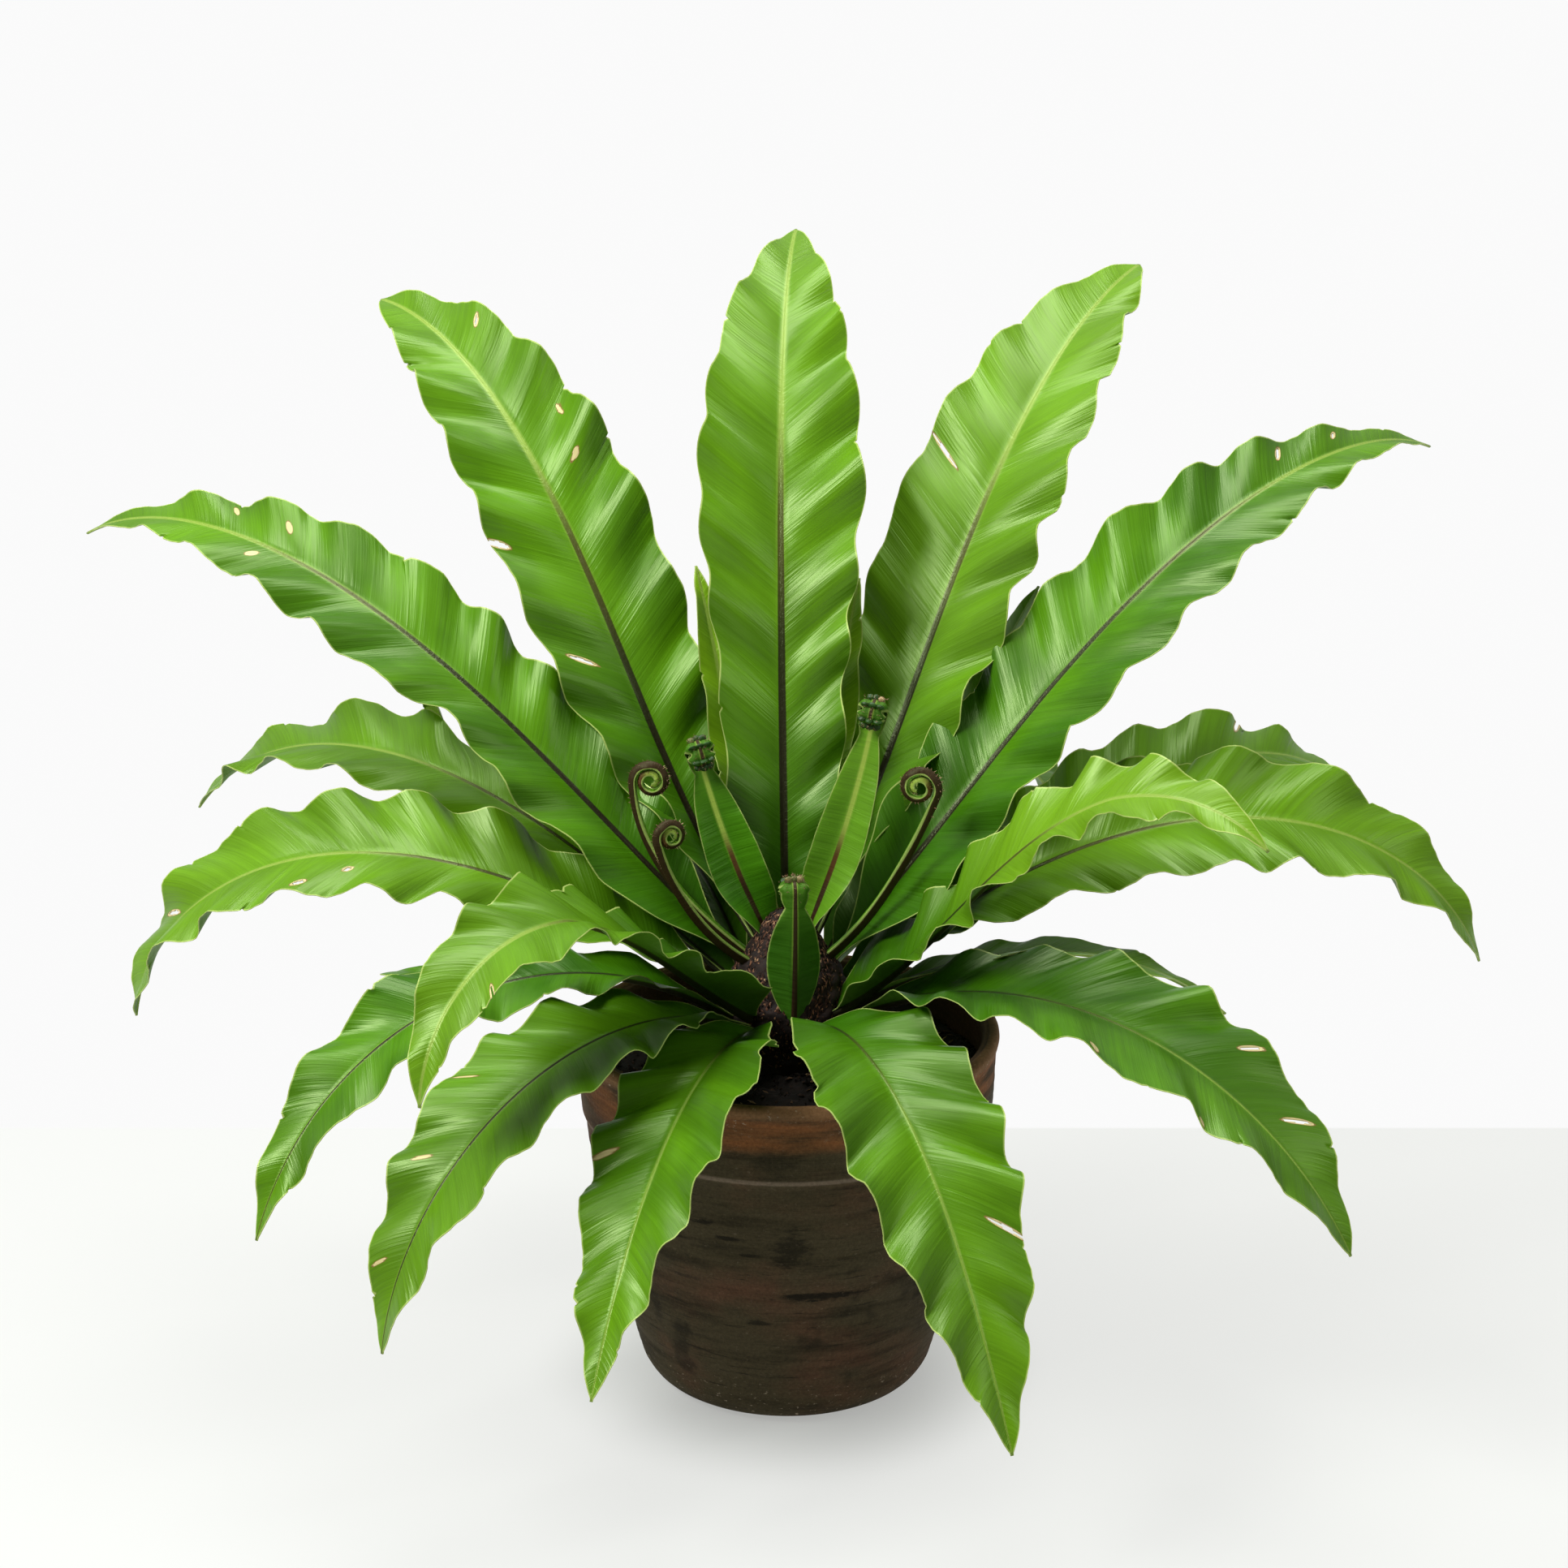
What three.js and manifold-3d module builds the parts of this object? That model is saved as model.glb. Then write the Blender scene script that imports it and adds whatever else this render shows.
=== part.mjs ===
// A bird's nest fern in a round clay pot, in millimetres, +Z up.
// The origin is the middle of the pot's underside, and the front of the plant looks along -Y.
// Pot, soil, crown, every frond and every young frond are separate closed solids.
import * as THREE from 'three';
import { mergeVertices } from 'three/addons/utils/BufferGeometryUtils.js';
import Module from 'manifold-3d';

const wasm = await Module();
wasm.setup();

// Pot
const POT_HEIGHT = 174;
const RIM_RADIUS = 100;
const RIM_BAND = 39; // height of the upright band below the lip
const WALL = 8;
const BASE_RADIUS = 56; // flat ring that the pot stands on
const BASE_CORNER = 14;
const FLOOR_THICKNESS = 10;
const POT_SIDES = 36;
const DRAIN_RADIUS = 6;
const DRAIN_CIRCLE = 28;
const DRAIN_COUNT = 3;

// Soil and crown
const SOIL_TOP = 158; // potting mix stands below the lip
const SOIL_SWELL = 5; // it rises this much towards the crown
const SOIL_SWELL_RADIUS = 80;
const SOIL_RINGS = [84, 70, 55, 42, 30];
// Lumps of the soil's top: height, number around, and how far they twist outwards
const SOIL_LUMPS = [[1.6, 3, 0.11], [1.2, 7, -0.2]];
const CROWN_ROOT = 132; // bottom of the rootstock in the soil
const CROWN_RADIUS = 30;
const CROWN_TOP = 217;
const CROWN_SIDES = 18;
const CROWN_SHOULDER = 180; // the mound rounds off above this height
const CROWN_UNEVEN = 0.05; // share of its radius
const CROWN_LUMP = 2;
const FIT_GAP = 0.3;
const SOIL_GAP = 0.5; // between the soil and the pot's faceted wall

// Fronds
const BLADE_THICKNESS = 1;
const STIPE_HALF_WIDTH = 2.7;
const TIP_HALF_WIDTH = 0.7;
const RIB_HALF_WIDTH = 1.7; // at the foot, thinning to the tip
const RIB_DEPTH = 2.6; // keel under the blade at the foot
const RIB_CREST = 0.7; // ridge on the blade's face
const ROWS_PER_WAVE = 4;
const SPINE_STEPS = 6; // steps of the spine between two rows
const SCALLOP = 0.045; // how far the waves draw the margin in and out
const FOLD_FOOT = 42; // degrees that each half is folded up at the foot
const FOLD_BLADE = 12;
const SOCKET_GAP = 0.7;
const NECK = 0.28; // share of a frond over which its wings open out from the stipe
const STIPE_END = 0.12; // the midrib stands up more below this share
const FOLD_END = 0.35; // the wings have opened flat by here
const RUFFLE_FROM = 0.06; // the margin's waves start here
const RUFFLE_FULL = 0.3; // and have their full height here
const SIDE_SHIFT = 0.37; // of a wave, between the two margins
const FROND_SHIFT = 0.23; // of a wave, between one frond and the next
const ROLL_END = 0.45; // share over which a frond turns its face

// Young fronds
const YOUNG_ROWS = 10;
const COIL_ROWS = 10; // rows in one turn of a coil
const COIL_CLOSE = 0.8; // how far the coil has closed at its middle
const YOUNG_STEM = 1.9; // half of a stem's thickness at its foot
const YOUNG_HALF_WIDTH = 2.1;
const YOUNG_FOLD = 28;
const YOUNG_ROLLED = 0.75; // the blade is rolled up from this share of the stem

// Feet of the fronds in the crown: distance from the axis and height
const TIERS = {
  low: [24, 178],
  outer: [20, 186],
  middle: [14.5, 197],
  inner: [11, 203],
  heart: [6, 206],
  front: [29, 184],
};

// Where a blade is widest, and how fully it swells below and above that place
const BLADES = {
  full: [0.52, 0.4, 0.8],
  arch: [0.45, 0.42, 0.85],
  lance: [0.53, 0.55, 0.85],
  spoon: [0.55, 0.5, 0.7],
  broad: [0.45, 0.3, 0.85],
  drawn: [0.48, 0.55, 1.1],
  strap: [0.5, 0.35, 0.7],
};

// One entry for each frond. Angles are in degrees: az is the direction that it leaves in, from +X
// towards +Y, swing is how far it turns aside by its tip, rise, middle and droop are the steepness
// at its foot, half way and at its tip, and roll tilts its face about the midrib.
const FRONDS = [
  { az: 94, swing: -10, long: 395, rise: 77, middle: 83, droop: 11,
    wide: 80, waves: 10, wave: 4, roll: 0, tier: 'inner', blade: 'full', neck: 0.2 },
  { az: 140, swing: -13, long: 412, rise: 44, middle: 89, droop: 0,
    wide: 78, waves: 10, wave: 4.5, roll: -25, tier: 'inner', blade: 'spoon', neck: 0.2 },
  { az: 46.6, swing: 11, long: 414, rise: 50, middle: 80, droop: 10,
    wide: 83, waves: 10, wave: 4.5, roll: 6, tier: 'inner', blade: 'spoon', neck: 0.22 },
  { az: 168, swing: -29, long: 440, rise: 42, middle: 59, droop: -26,
    wide: 68, waves: 11, wave: 5.5, roll: -28, tier: 'middle', blade: 'drawn', neck: 0.2 },
  { az: 12, swing: 36, long: 443, rise: 47, middle: 67, droop: -20,
    wide: 73, waves: 11, wave: 5.5, roll: 20.1, tier: 'middle', blade: 'drawn', neck: 0.18 },
  { az: 157, swing: -9, long: 352, rise: 34.5, middle: 41, droop: -52,
    wide: 64, waves: 8, wave: 4.5, roll: -17, tier: 'outer', blade: 'lance', neck: 0.2 },
  { az: 186, swing: -17, long: 346, rise: 34, middle: 39, droop: -82,
    wide: 70, waves: 9, wave: 4.5, roll: -22, tier: 'outer', blade: 'spoon', neck: 0.2 },
  { az: 26, swing: 11, long: 340, rise: 19, middle: 51, droop: -45,
    wide: 60, waves: 9, wave: 4.5, roll: 25, tier: 'outer', blade: 'lance', neck: 0.2 },
  { az: 359.8, swing: 3, long: 358, rise: 38.8, middle: 36.8, droop: -69,
    wide: 70, waves: 9, wave: 4.5, roll: 32, tier: 'outer', blade: 'lance', neck: 0.2 },
  { az: 334, swing: -14, long: 268, rise: 25, middle: 86, droop: -38,
    wide: 58, waves: 8, wave: 4, roll: 25, tier: 'middle', blade: 'broad', neck: 0.2 },
  { az: 229, swing: 5, long: 272, rise: 24, middle: 66, droop: -86,
    wide: 62, waves: 8, wave: 4, roll: -10, tier: 'middle', blade: 'broad', neck: 0.2 },
  { az: 207.6, swing: 16, long: 297, rise: 40.3, middle: -2, droop: -70,
    wide: 50, waves: 7, wave: 4.5, roll: -15.1, tier: 'low', blade: 'lance' },
  { az: 231.2, swing: -10, long: 290, rise: 31, middle: -5, droop: -82,
    wide: 64, waves: 8, wave: 4, roll: -3.7, tier: 'low', blade: 'lance', neck: 0.3 },
  { az: 249.8, swing: 0, long: 250, rise: 28.1, middle: -34, droop: -58,
    wide: 63.9, waves: 7, wave: 4, roll: 11, tier: 'low', blade: 'arch', neck: 0.28 },
  { az: 290.8, swing: 4, long: 277, rise: 35, middle: -49, droop: -59,
    wide: 76, waves: 8, wave: 4, roll: 0, tier: 'low', blade: 'arch', neck: 0.26 },
  { az: 323.5, swing: 4, long: 307, rise: 35.5, middle: -2, droop: -61,
    wide: 80, waves: 8, wave: 4.5, roll: 6, tier: 'low', blade: 'lance' },
  { az: 346, swing: 3, long: 200, rise: 36, middle: 20, droop: -40,
    wide: 27.7, waves: 6, wave: 3, roll: -5.1, tier: 'outer', blade: 'lance' },
  { az: 117, swing: 0, long: 195, rise: 65, middle: 71, droop: 60,
    wide: 24, waves: 5, wave: 2, roll: 0, tier: 'middle', blade: 'strap', neck: 0.18 },
  { az: 68, swing: 0, long: 188, rise: 66.1, middle: 71, droop: 60,
    wide: 24, waves: 5, wave: 2, roll: 0, tier: 'middle', blade: 'strap', neck: 0.18 },
  { az: 41, swing: 4, long: 225, rise: 46, middle: 57, droop: 46,
    wide: 44, waves: 6, wave: 3, roll: -10, tier: 'outer', blade: 'lance', neck: 0.18 },
  { az: 136, swing: 12, long: 245, rise: 55.3, middle: 58, droop: -60,
    wide: 44.9, waves: 6, wave: 3.5, roll: 0, tier: 'outer', blade: 'lance', neck: 0.18 },
  { az: 58, swing: 4, long: 300, rise: 36, middle: 25, droop: -55,
    wide: 60, waves: 8, wave: 4.5, roll: 0, tier: 'outer', blade: 'lance', neck: 0.2 },
  { az: 90, swing: -4, long: 310, rise: 38, middle: 22, droop: -60,
    wide: 62, waves: 8, wave: 4.5, roll: 0, tier: 'outer', blade: 'lance', neck: 0.24 },
  { az: 120, swing: 5, long: 290, rise: 32, middle: 20, droop: -50,
    wide: 60, waves: 8, wave: 4.5, roll: 0, tier: 'outer', blade: 'lance', neck: 0.18 },
];

// Young fronds, still rolled at the tip. They stand steeply and coil towards the axis.
const YOUNG = [
  { az: 163, long: 104, rise: 66, middle: 66, droop: 76,
    wide: 29, coil: 7, turns: 1.5, roll: 13, tier: 'heart', twist: -62 },
  { az: 14, long: 123, rise: 70, middle: 70, droop: 80,
    wide: 27, coil: 7, turns: 1.5, roll: 13, tier: 'heart', twist: 64 },
  { az: 175, long: 111, rise: 36, middle: 43, droop: 88,
    wide: 5, coil: 8.5, turns: 1.8, roll: 5, tier: 'inner' },
  { az: 204, long: 90, rise: 28, middle: 56, droop: 73,
    wide: 4.5, coil: 7, turns: 1.7, roll: 4.5, tier: 'inner' },
  { az: 350, long: 106, rise: 36, middle: 66, droop: 67,
    wide: 5, coil: 9, turns: 1.8, roll: 5, tier: 'inner' },
  { az: 276, long: 66, rise: 80, middle: 82, droop: 94,
    wide: 28, coil: 6.5, turns: 1.5, roll: 13, tier: 'front' },
];

const rad = THREE.MathUtils.degToRad;

// Geometry helpers
function solidFrom(geometry) {
  const bare = new THREE.BufferGeometry();
  bare.setAttribute('position', geometry.getAttribute('position').clone());
  const source = geometry.index ? geometry.index.array : null;
  bare.setIndex(source ? Array.from(source) : [...Array(bare.getAttribute('position').count).keys()]);
  const merged = mergeVertices(bare, 1e-4);
  const flat = merged.index.array;
  const kept = [];
  for (let i = 0; i < flat.length; i += 3) {
    const [a, b, c] = [flat[i], flat[i + 1], flat[i + 2]];
    if (a !== b && b !== c && c !== a) kept.push(a, b, c);
  }
  const mesh = new wasm.Mesh({
    numProp: 3,
    vertProperties: new Float32Array(merged.getAttribute('position').array),
    triVerts: new Uint32Array(kept),
  });
  return new wasm.Manifold(mesh);
}

function geometryFrom(solid) {
  const mesh = solid.getMesh();
  const geometry = new THREE.BufferGeometry();
  geometry.setAttribute('position', new THREE.BufferAttribute(new Float32Array(mesh.vertProperties), 3));
  geometry.setIndex(new THREE.BufferAttribute(new Uint32Array(mesh.triVerts), 1));
  return geometry;
}

function largestBody(solid) {
  const bodies = solid.decompose();
  return bodies.reduce((best, body) => (body.volume() > best.volume() ? body : best));
}

function latheSolid(profile, sides) {
  const lathe = new THREE.LatheGeometry(profile.map(([r, z]) => new THREE.Vector2(r, z)), sides);
  lathe.rotateX(Math.PI / 2);
  return solidFrom(lathe);
}

// A round stretch of a profile, from one angle to another in degrees
function arc(r, z, radius, from, to, steps) {
  const points = [];
  for (let i = 0; i <= steps; i += 1) {
    const a = rad(from + ((to - from) * i) / steps);
    points.push([r + radius * Math.cos(a), z + radius * Math.sin(a)]);
  }
  return points;
}

// Repeatable random numbers between 0 and 1
function seeded(seed) {
  let state = seed;
  return () => {
    state = (state * 1664525 + 1013904223) % 4294967296;
    return state / 4294967296;
  };
}

// Pot
function potOutside() {
  const bandFoot = POT_HEIGHT - RIM_BAND;
  return [
    [0, 0],
    ...arc(BASE_RADIUS, BASE_CORNER, BASE_CORNER, -90, -14, 4),
    [80, 48],
    [88.5, 86],
    [94, bandFoot - 14],
    [95.5, bandFoot],
    [97.2, bandFoot + 3],
    [98, bandFoot + 20],
    [98, POT_HEIGHT - 9],
    ...arc(RIM_RADIUS - 4, POT_HEIGHT - 4, 4, 0, 90, 4),
  ];
}

function potInside() {
  return [
    ...arc(RIM_RADIUS - WALL + 3, POT_HEIGHT - 3, 3, 90, 180, 3),
    [91, POT_HEIGHT - 14],
    [90, POT_HEIGHT - 34],
    [86, 112],
    [80, 78],
    [71, 44],
    [60, FLOOR_THICKNESS + 4],
    [54, FLOOR_THICKNESS],
    [0, FLOOR_THICKNESS],
  ];
}

function makePot() {
  let pot = latheSolid([...potOutside(), ...potInside()], POT_SIDES);
  for (let i = 0; i < DRAIN_COUNT; i += 1) {
    const a = (i / DRAIN_COUNT) * 2 * Math.PI;
    const drill = new THREE.CylinderGeometry(DRAIN_RADIUS, DRAIN_RADIUS, FLOOR_THICKNESS * 3, 12);
    drill.rotateX(Math.PI / 2);
    drill.translate(DRAIN_CIRCLE * Math.cos(a), DRAIN_CIRCLE * Math.sin(a), 0);
    pot = pot.subtract(solidFrom(drill));
  }
  return pot;
}

// Soil: a plug that fills the pot below its lip, with an uneven top
function insideRadius(z) {
  const wall = potInside();
  for (let i = 1; i < wall.length; i += 1) {
    const [r1, z1] = wall[i];
    const [r0, z0] = wall[i - 1];
    if (z <= z0 && z >= z1 && z0 > z1) return r1 + ((r0 - r1) * (z - z1)) / (z0 - z1);
  }
  return 0;
}

function soilHeight(r, a) {
  const swell = SOIL_SWELL * Math.max(0, 1 - r / SOIL_SWELL_RADIUS);
  let lumps = 0;
  for (const [height, around, twist] of SOIL_LUMPS) lumps += height * Math.sin(around * a + twist * r);
  return SOIL_TOP + swell + lumps * Math.min(1, r / CROWN_RADIUS);
}

function makeSoil(crownHole) {
  const levels = [FLOOR_THICKNESS + FIT_GAP, FLOOR_THICKNESS + 4, 44, 78, 112, 140, 150];
  const wall = [...levels, SOIL_TOP].map((z) => [insideRadius(z) - SOIL_GAP, z]);
  const profile = [[0, levels[0]], ...wall];
  const rings = SOIL_RINGS.map((r) => [r, SOIL_TOP]);
  const lathe = new THREE.LatheGeometry(
    [...profile, ...rings, [0, SOIL_TOP]].map(([r, z]) => new THREE.Vector2(r, z)),
    POT_SIDES,
  );
  lathe.rotateX(Math.PI / 2);
  const position = lathe.getAttribute('position');
  for (let i = 0; i < position.count; i += 1) {
    if (position.getZ(i) > SOIL_TOP - 1) {
      const [x, y] = [position.getX(i), position.getY(i)];
      const r = Math.hypot(x, y);
      position.setZ(i, r < 1e-6 ? SOIL_TOP + SOIL_SWELL : soilHeight(r, Math.atan2(y, x)));
    }
  }
  return solidFrom(lathe).subtract(crownHole);
}

// Crown: the rootstock and its mound of scales, which holds the feet of all fronds
const CROWN_PROFILE = [
  [0, CROWN_ROOT],
  [18, CROWN_ROOT],
  [26, CROWN_ROOT + 10],
  [CROWN_RADIUS, SOIL_TOP],
  [CROWN_RADIUS, CROWN_SHOULDER],
  [28.5, 192],
  [25, 203],
  [18.5, 211.5],
  [9, 216],
  [0, CROWN_TOP],
];

function makeCrown(sockets) {
  const lumps = seeded(11);
  let crown = latheSolid(CROWN_PROFILE, CROWN_SIDES).warp((v) => {
    if (v[2] > SOIL_TOP + 12 && Math.hypot(v[0], v[1]) > 1) {
      const swell = 1 + CROWN_UNEVEN * (lumps() - 0.5);
      v[0] *= swell;
      v[1] *= swell;
      v[2] += CROWN_LUMP * (lumps() - 0.5);
    }
  });
  for (const socket of sockets) crown = crown.subtract(socket);
  return largestBody(crown);
}

function makeCrownHole() {
  const buried = CROWN_PROFILE.filter(([, z]) => z <= CROWN_SHOULDER);
  const grown = buried.map(([r, z]) => [r > 0 ? r + SOIL_GAP : 0, z]);
  grown[0][1] -= FIT_GAP;
  grown[1][1] -= FIT_GAP;
  grown.push([0, CROWN_SHOULDER]);
  return latheSolid(grown, CROWN_SIDES);
}

// Fronds
function bladeShape(u, blade) {
  const [peak, belly, point] = BLADES[blade];
  const bend = Math.log(0.5) / Math.log(peak);
  return Math.sin(Math.PI * Math.min(1, u) ** bend) ** (u < peak ? belly : point);
}

// Frames along a frond's midrib: place, direction, side and face, one for each row
function midribFrames(frond, rows) {
  const [footR, footZ] = TIERS[frond.tier];
  const az = rad(frond.az);
  const place = new THREE.Vector3(footR * Math.cos(az), footR * Math.sin(az), footZ);
  const steps = rows * SPINE_STEPS;
  const frames = [];
  for (let i = 0; i <= steps; i += 1) {
    const u = i / steps;
    const along = directionAt(frond, u);
    if (i % SPINE_STEPS === 0) {
      const heading = az + rad(frond.swing ?? 0) * u ** 1.5;
      const side = new THREE.Vector3(-Math.sin(heading), Math.cos(heading), 0);
      const face = new THREE.Vector3().crossVectors(along, side);
      const roll = rad(frond.roll ?? 0) * THREE.MathUtils.smoothstep(u, 0, ROLL_END);
      side.applyAxisAngle(along, roll);
      face.applyAxisAngle(along, roll);
      frames.push({ u, place: place.clone(), along: along.clone(), side, face });
    }
    const middle = directionAt(frond, Math.min(1, u + 0.5 / steps));
    place.addScaledVector(middle, frond.long / steps);
  }
  return frames;
}

function directionAt(frond, u) {
  const bend = (1 - u) ** 2 * frond.rise + 2 * u * (1 - u) * frond.middle + u * u * frond.droop;
  const heading = rad(frond.az) + rad(frond.swing ?? 0) * u ** 1.5;
  const level = Math.cos(rad(bend));
  return new THREE.Vector3(level * Math.cos(heading), level * Math.sin(heading), Math.sin(rad(bend)));
}

// Points of one cross-section, from the left margin to the right one, on the face and underneath
function bladeSection(frame, frond, index, grow) {
  const { u, place, side, face } = frame;
  const swell = bladeShape(u, frond.blade);
  const foot = Math.max(0, 1 - u / STIPE_END);
  const opened = THREE.MathUtils.smoothstep(u, 0, frond.neck ?? NECK);
  const stipe = STIPE_HALF_WIDTH * (1 - u) + TIP_HALF_WIDTH * u;
  const half = Math.max(stipe, (opened * swell * frond.wide) / 2);
  const fold = rad(FOLD_BLADE + (FOLD_FOOT - FOLD_BLADE) * Math.max(0, 1 - u / FOLD_END) ** 1.5);
  const ribHalf = Math.min(RIB_HALF_WIDTH * (1 - 0.75 * u), half * 0.62);
  const ribDepth = RIB_DEPTH * (1 - 0.8 * u);
  const crest = RIB_CREST * (1 - 0.6 * u) + foot * 0.8;
  const calm = Math.min(1, (half / frond.wide) * 3.2); // the waves fade where the blade is narrow
  const ruffle = frond.wave * THREE.MathUtils.smoothstep(u, RUFFLE_FROM, RUFFLE_FULL) * calm;
  const section = { face: [], under: [] };
  for (const lane of [-1, -0.1, 0, 0.1, 1]) {
    const left = Math.sign(lane);
    const phase = 2 * Math.PI * (frond.waves * u + (left > 0 ? 0 : SIDE_SHIFT) + index * FROND_SHIFT);
    const atMargin = Math.abs(lane) === 1;
    const scallop = 1 + SCALLOP * Math.cos(phase) * Math.min(1, ruffle);
    const reach = (atMargin ? half * scallop : ribHalf) + grow;
    const across = lane === 0 ? 0 : reach;
    const lift = atMargin ? ruffle * Math.sin(phase) : 0;
    const middle = place.clone();
    middle.addScaledVector(side, left * across * Math.cos(fold));
    middle.addScaledVector(face, across * Math.sin(fold) + lift);
    const up = face.clone().multiplyScalar(Math.cos(fold * Math.abs(left)));
    up.addScaledVector(side, -left * Math.sin(fold));
    const above = lane === 0 ? crest : 0;
    const below = lane === 0 ? ribDepth : 0;
    section.face.push(middle.clone().addScaledVector(up, BLADE_THICKNESS / 2 + above + grow));
    section.under.push(middle.clone().addScaledVector(up, -BLADE_THICKNESS / 2 - below - grow));
  }
  return section;
}

// A closed blade from its cross-sections. Margins use every row and the midrib one row for each
// wave, and the face and the underside are split alike.
function bladeSolid(sections) {
  const points = [];
  const corners = [];
  const number = (point) => points.push(point) - 1;
  const rows = sections.map((section, i) => {
    const wanted = i % ROWS_PER_WAVE === 0 ? [0, 1, 2, 3, 4] : [0, 4];
    const row = { face: [], under: [] };
    for (const lane of wanted) {
      row.face[lane] = number(section.face[lane]);
      row.under[lane] = number(section.under[lane]);
    }
    return row;
  });
  const skin = (a, b, c) => {
    corners.push(rows[a[0]].face[a[1]], rows[b[0]].face[b[1]], rows[c[0]].face[c[1]]);
    corners.push(rows[a[0]].under[a[1]], rows[c[0]].under[c[1]], rows[b[0]].under[b[1]]);
  };
  for (let i = 0; i < rows.length - 1; i += ROWS_PER_WAVE) {
    const next = i + ROWS_PER_WAVE;
    for (let k = i; k < next; k += 1) {
      const near = k < i + ROWS_PER_WAVE / 2 ? i : next;
      skin([k, 0], [k + 1, 0], [near, 1]);
      skin([k + 1, 4], [k, 4], [near, 3]);
    }
    const half = i + ROWS_PER_WAVE / 2;
    skin([half, 0], [next, 1], [i, 1]);
    skin([half, 4], [i, 3], [next, 3]);
    for (const lane of [1, 2]) {
      skin([i, lane], [next, lane], [next, lane + 1]);
      skin([i, lane], [next, lane + 1], [i, lane + 1]);
    }
  }
  for (let i = 0; i < rows.length - 1; i += 1) {
    const [here, next] = [rows[i], rows[i + 1]];
    corners.push(here.face[0], here.under[0], next.under[0], here.face[0], next.under[0], next.face[0]);
    corners.push(here.face[4], next.under[4], here.under[4], here.face[4], next.face[4], next.under[4]);
  }
  for (let lane = 0; lane < 4; lane += 1) {
    const [foot, tip] = [rows[0], rows[rows.length - 1]];
    corners.push(foot.face[lane], foot.face[lane + 1], foot.under[lane + 1]);
    corners.push(foot.face[lane], foot.under[lane + 1], foot.under[lane]);
    corners.push(tip.face[lane], tip.under[lane + 1], tip.face[lane + 1]);
    corners.push(tip.face[lane], tip.under[lane], tip.under[lane + 1]);
  }
  const geometry = new THREE.BufferGeometry();
  const flat = points.flatMap((p) => [p.x, p.y, p.z]);
  geometry.setAttribute('position', new THREE.Float32BufferAttribute(flat, 3));
  geometry.setIndex(corners);
  return solidFrom(geometry);
}

function makeFrond(frond, index, grow = 0) {
  const rows = frond.waves * ROWS_PER_WAVE;
  const frames = midribFrames(frond, rows);
  frames[0].place.addScaledVector(frames[0].along, -grow);
  frames[rows].place.addScaledVector(frames[rows].along, grow);
  return bladeSolid(frames.map((frame) => bladeSection(frame, frond, index, grow)));
}

// Young fronds: a stem that widens to a small folded blade and ends in a flat coil
function youngFrames(frond, withCoil) {
  const frames = midribFrames({ ...frond, swing: 0, roll: frond.twist ?? 0 }, YOUNG_ROWS);
  if (!withCoil) return frames;
  const last = frames[frames.length - 1];
  const place = last.place.clone();
  const { side } = last;
  const steps = Math.round(frond.turns * COIL_ROWS);
  const turn = (2 * Math.PI) / COIL_ROWS;
  const turned = (angle) => last.along.clone().applyAxisAngle(side, -angle);
  for (let i = 1; i <= steps; i += 1) {
    const radius = frond.coil * (1 - COIL_CLOSE * ((i - 0.5) / steps));
    place.addScaledVector(turned((i - 0.5) * turn), 2 * radius * Math.sin(turn / 2));
    const along = turned(i * turn);
    const face = new THREE.Vector3().crossVectors(along, side);
    frames.push({ u: 1 + i / steps, place: place.clone(), along, side, face });
  }
  return frames;
}

function youngSection(frame, frond, grow) {
  const { u, place, side, face } = frame;
  const open = Math.sin(Math.PI * Math.min(1, u) ** 0.9) ** 0.8;
  const rolled = THREE.MathUtils.smoothstep(u, YOUNG_ROLLED, 1) * (1 - 0.35 * Math.max(0, u - 1));
  const stem = YOUNG_HALF_WIDTH * (1 - 0.3 * Math.min(u, 1));
  const half = Math.max(stem, (open * frond.wide) / 2, (rolled * frond.roll) / 2);
  const thick = YOUNG_STEM * (1 - 0.42 * Math.min(1, u)) * (1 - 0.2 * Math.max(0, u - 1));
  const cup = rad(YOUNG_FOLD) * (1 - THREE.MathUtils.smoothstep(u, 0.6, 1));
  const outline = [
    [-1, 0.3],
    [-0.45, 1],
    [0.45, 1],
    [1, 0.3],
    [1, -0.3],
    [0.45, -1],
    [-0.45, -1],
    [-1, -0.3],
  ];
  return outline.map(([x, y]) => {
    const across = x * (half + grow);
    const point = place.clone().addScaledVector(side, across * Math.cos(cup));
    return point.addScaledVector(face, Math.abs(across) * Math.sin(cup) + y * (thick + grow));
  });
}

function makeYoung(frond, grow = 0) {
  const frames = youngFrames(frond, grow === 0);
  frames[0].place.addScaledVector(frames[0].along, -grow);
  const rings = frames.map((frame) => youngSection(frame, frond, grow));
  const sides = rings[0].length;
  const corners = [];
  for (let i = 0; i < rings.length - 1; i += 1) {
    for (let k = 0; k < sides; k += 1) {
      const [a, b] = [i * sides + k, i * sides + ((k + 1) % sides)];
      corners.push(a, a + sides, b, b, a + sides, b + sides);
    }
  }
  const last = (rings.length - 1) * sides;
  for (let k = 1; k < sides - 1; k += 1) {
    corners.push(0, k, k + 1, last, last + k + 1, last + k);
  }
  const geometry = new THREE.BufferGeometry();
  const flat = rings.flat().flatMap((p) => [p.x, p.y, p.z]);
  geometry.setAttribute('position', new THREE.Float32BufferAttribute(flat, 3));
  geometry.setIndex(corners);
  return solidFrom(geometry);
}

const group = new THREE.Group();

function addPiece(name, solid, colour, roughness) {
  const material = new THREE.MeshStandardMaterial({ color: colour, roughness, metalness: 0 });
  const piece = new THREE.Mesh(geometryFrom(solid), material);
  piece.name = name;
  group.add(piece);
}

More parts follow.
